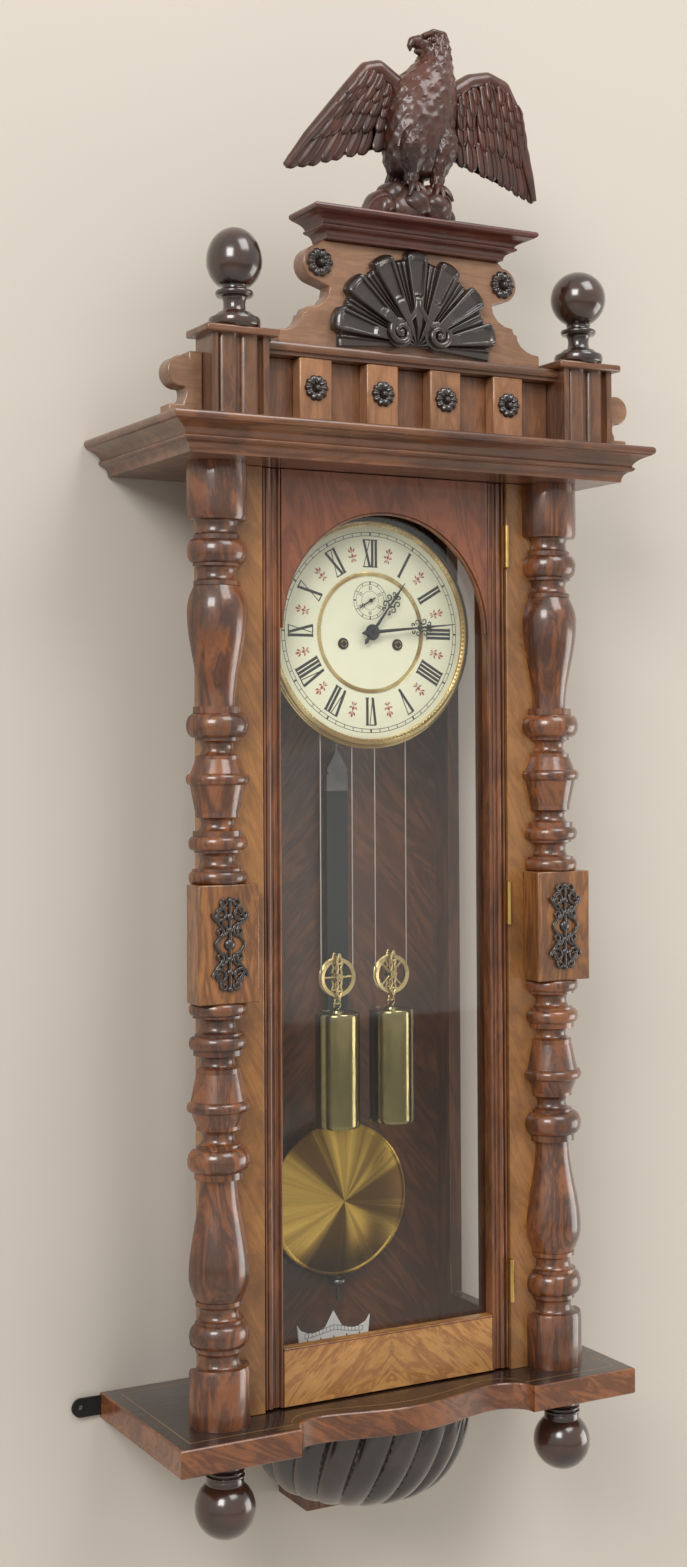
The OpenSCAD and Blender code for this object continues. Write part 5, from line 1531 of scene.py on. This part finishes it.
cap_steps = ((1.0, cap_low), (1.0, DIAL_Z - 0.1270), (0.86, DIAL_Z - 0.1262), (0.86, DIAL_Z - 0.1246),
             (0.97, DIAL_Z - 0.1240), (0.97, DIAL_Z - 0.1225), (0.60, DIAL_Z - 0.1150), (0.20, DIAL_Z - 0.1065), (0.16, DIAL_Z - 0.1060))
cap = layered([rod_outline * [wide, 1.0] + [0, rod_y] for wide, _ in cap_steps], [z for _, z in cap_steps])
wire = tube(np.array([[0, rod_y, DIAL_Z - 0.110], [0, rod_y, DIAL_Z - 0.04], [0, rod_y, DIAL_Z + 0.030]]), 0.0016, 14)
leaf = layered([np.array([[-0.005, -0.0002], [0.005, -0.0002], [0.005, 0.0002], [-0.005, 0.0002]]) + [0, rod_y]] * 2,
               [DIAL_Z + 0.028, DIAL_Z + 0.046])
screw = tube(np.array([[0, rod_y, DIAL_Z - 0.606], [0, rod_y, DIAL_Z - 0.600], [0, rod_y, DIAL_Z - 0.583]]), 0.0017, 14)
nut = moved(lathe(np.array([[0.0, 0.0], [0.0045, 0.0], [0.0062, 0.001], [0.0065, 0.0018], [0.0065, 0.0050],
                            [0.0060, 0.0060], [0.0040, 0.0068], [0.0, 0.0070]]), 28), (0, rod_y, DIAL_Z - 0.593))
cap_steel = metal("dark_steel", tone(120, 118, 116), tone(64, 62, 60), 0.3)
build("pendulum_fittings", [cap, wire, leaf, screw, nut], cap_steel, "pendulum", (), 35.0)

bob_z = DIAL_Z - 0.514
t = np.linspace(0, 1, 20)
face_r = 0.0655 * t
face_y = -0.0367 + 0.0090 * t ** 1.7
bob_outline = np.concatenate([
    np.stack([face_r, face_y], axis=1),
    [[0.0668, -0.0281], [0.0680, -0.0281], [0.0692, -0.0276], [0.0699, -0.0268], [0.0699, -0.0258]],
    [[0.0670, -0.0238], [0.0460, -0.0212], [0.0, -0.0195]]])
# The bob's bright rays are painted highlights in its colour, streaks by angle round its centre.
bob_brass = metal("brass_painted_rays", tone(220, 184, 92), tone(96, 70, 32), 0.24, (0.0, bob_z))
build("bob_painted_rays", [facing(bob_outline, 0.0, bob_z, 160)], bob_brass, "pendulum", ["pendulum_bob"], 25.0)

# The beat scale: a white three-peaked plate with a curved black graduation.
white_paint = lacquer("white_paint", tone(242, 242, 238), tone(230, 230, 224), 0.3, 0.3)
eased("beat_scale", white_paint, 0.0003)
scale_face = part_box("beat_scale")[0][1]
marks = []
for row, dip in ((0.0, 0.0), (0.0042, 0.0)):
    t = np.linspace(-1, 1, 33)
    x = 0.030 * t
    z = DIAL_Z - 0.6395 + row + 0.0046 * (1 - np.abs(t)) ** 1.4
    marks.append(tube(np.stack([x, np.full(33, scale_face), z], axis=1), 0.00022, 6))
for k in range(-8, 9):
    t = k / 8
    z = DIAL_Z - 0.6395 + 0.0046 * (1 - abs(t)) ** 1.4
    marks.append(tube(np.array([[0.030 * t, scale_face, z], [0.030 * t, scale_face, z + 0.002],
                                [0.030 * t, scale_face, z + 0.0042]]), 0.0002, 6))
for k in range(-2, 3):
    marks.append(tube(np.array([[0.0135 * k, scale_face, DIAL_Z - 0.6446], [0.0135 * k, scale_face, DIAL_Z - 0.6425],
                                [0.0135 * k, scale_face, DIAL_Z - 0.6405]]), 0.0006, 6))
build("beat_scale_marks", marks, black_ink, "case", (), 60.0)
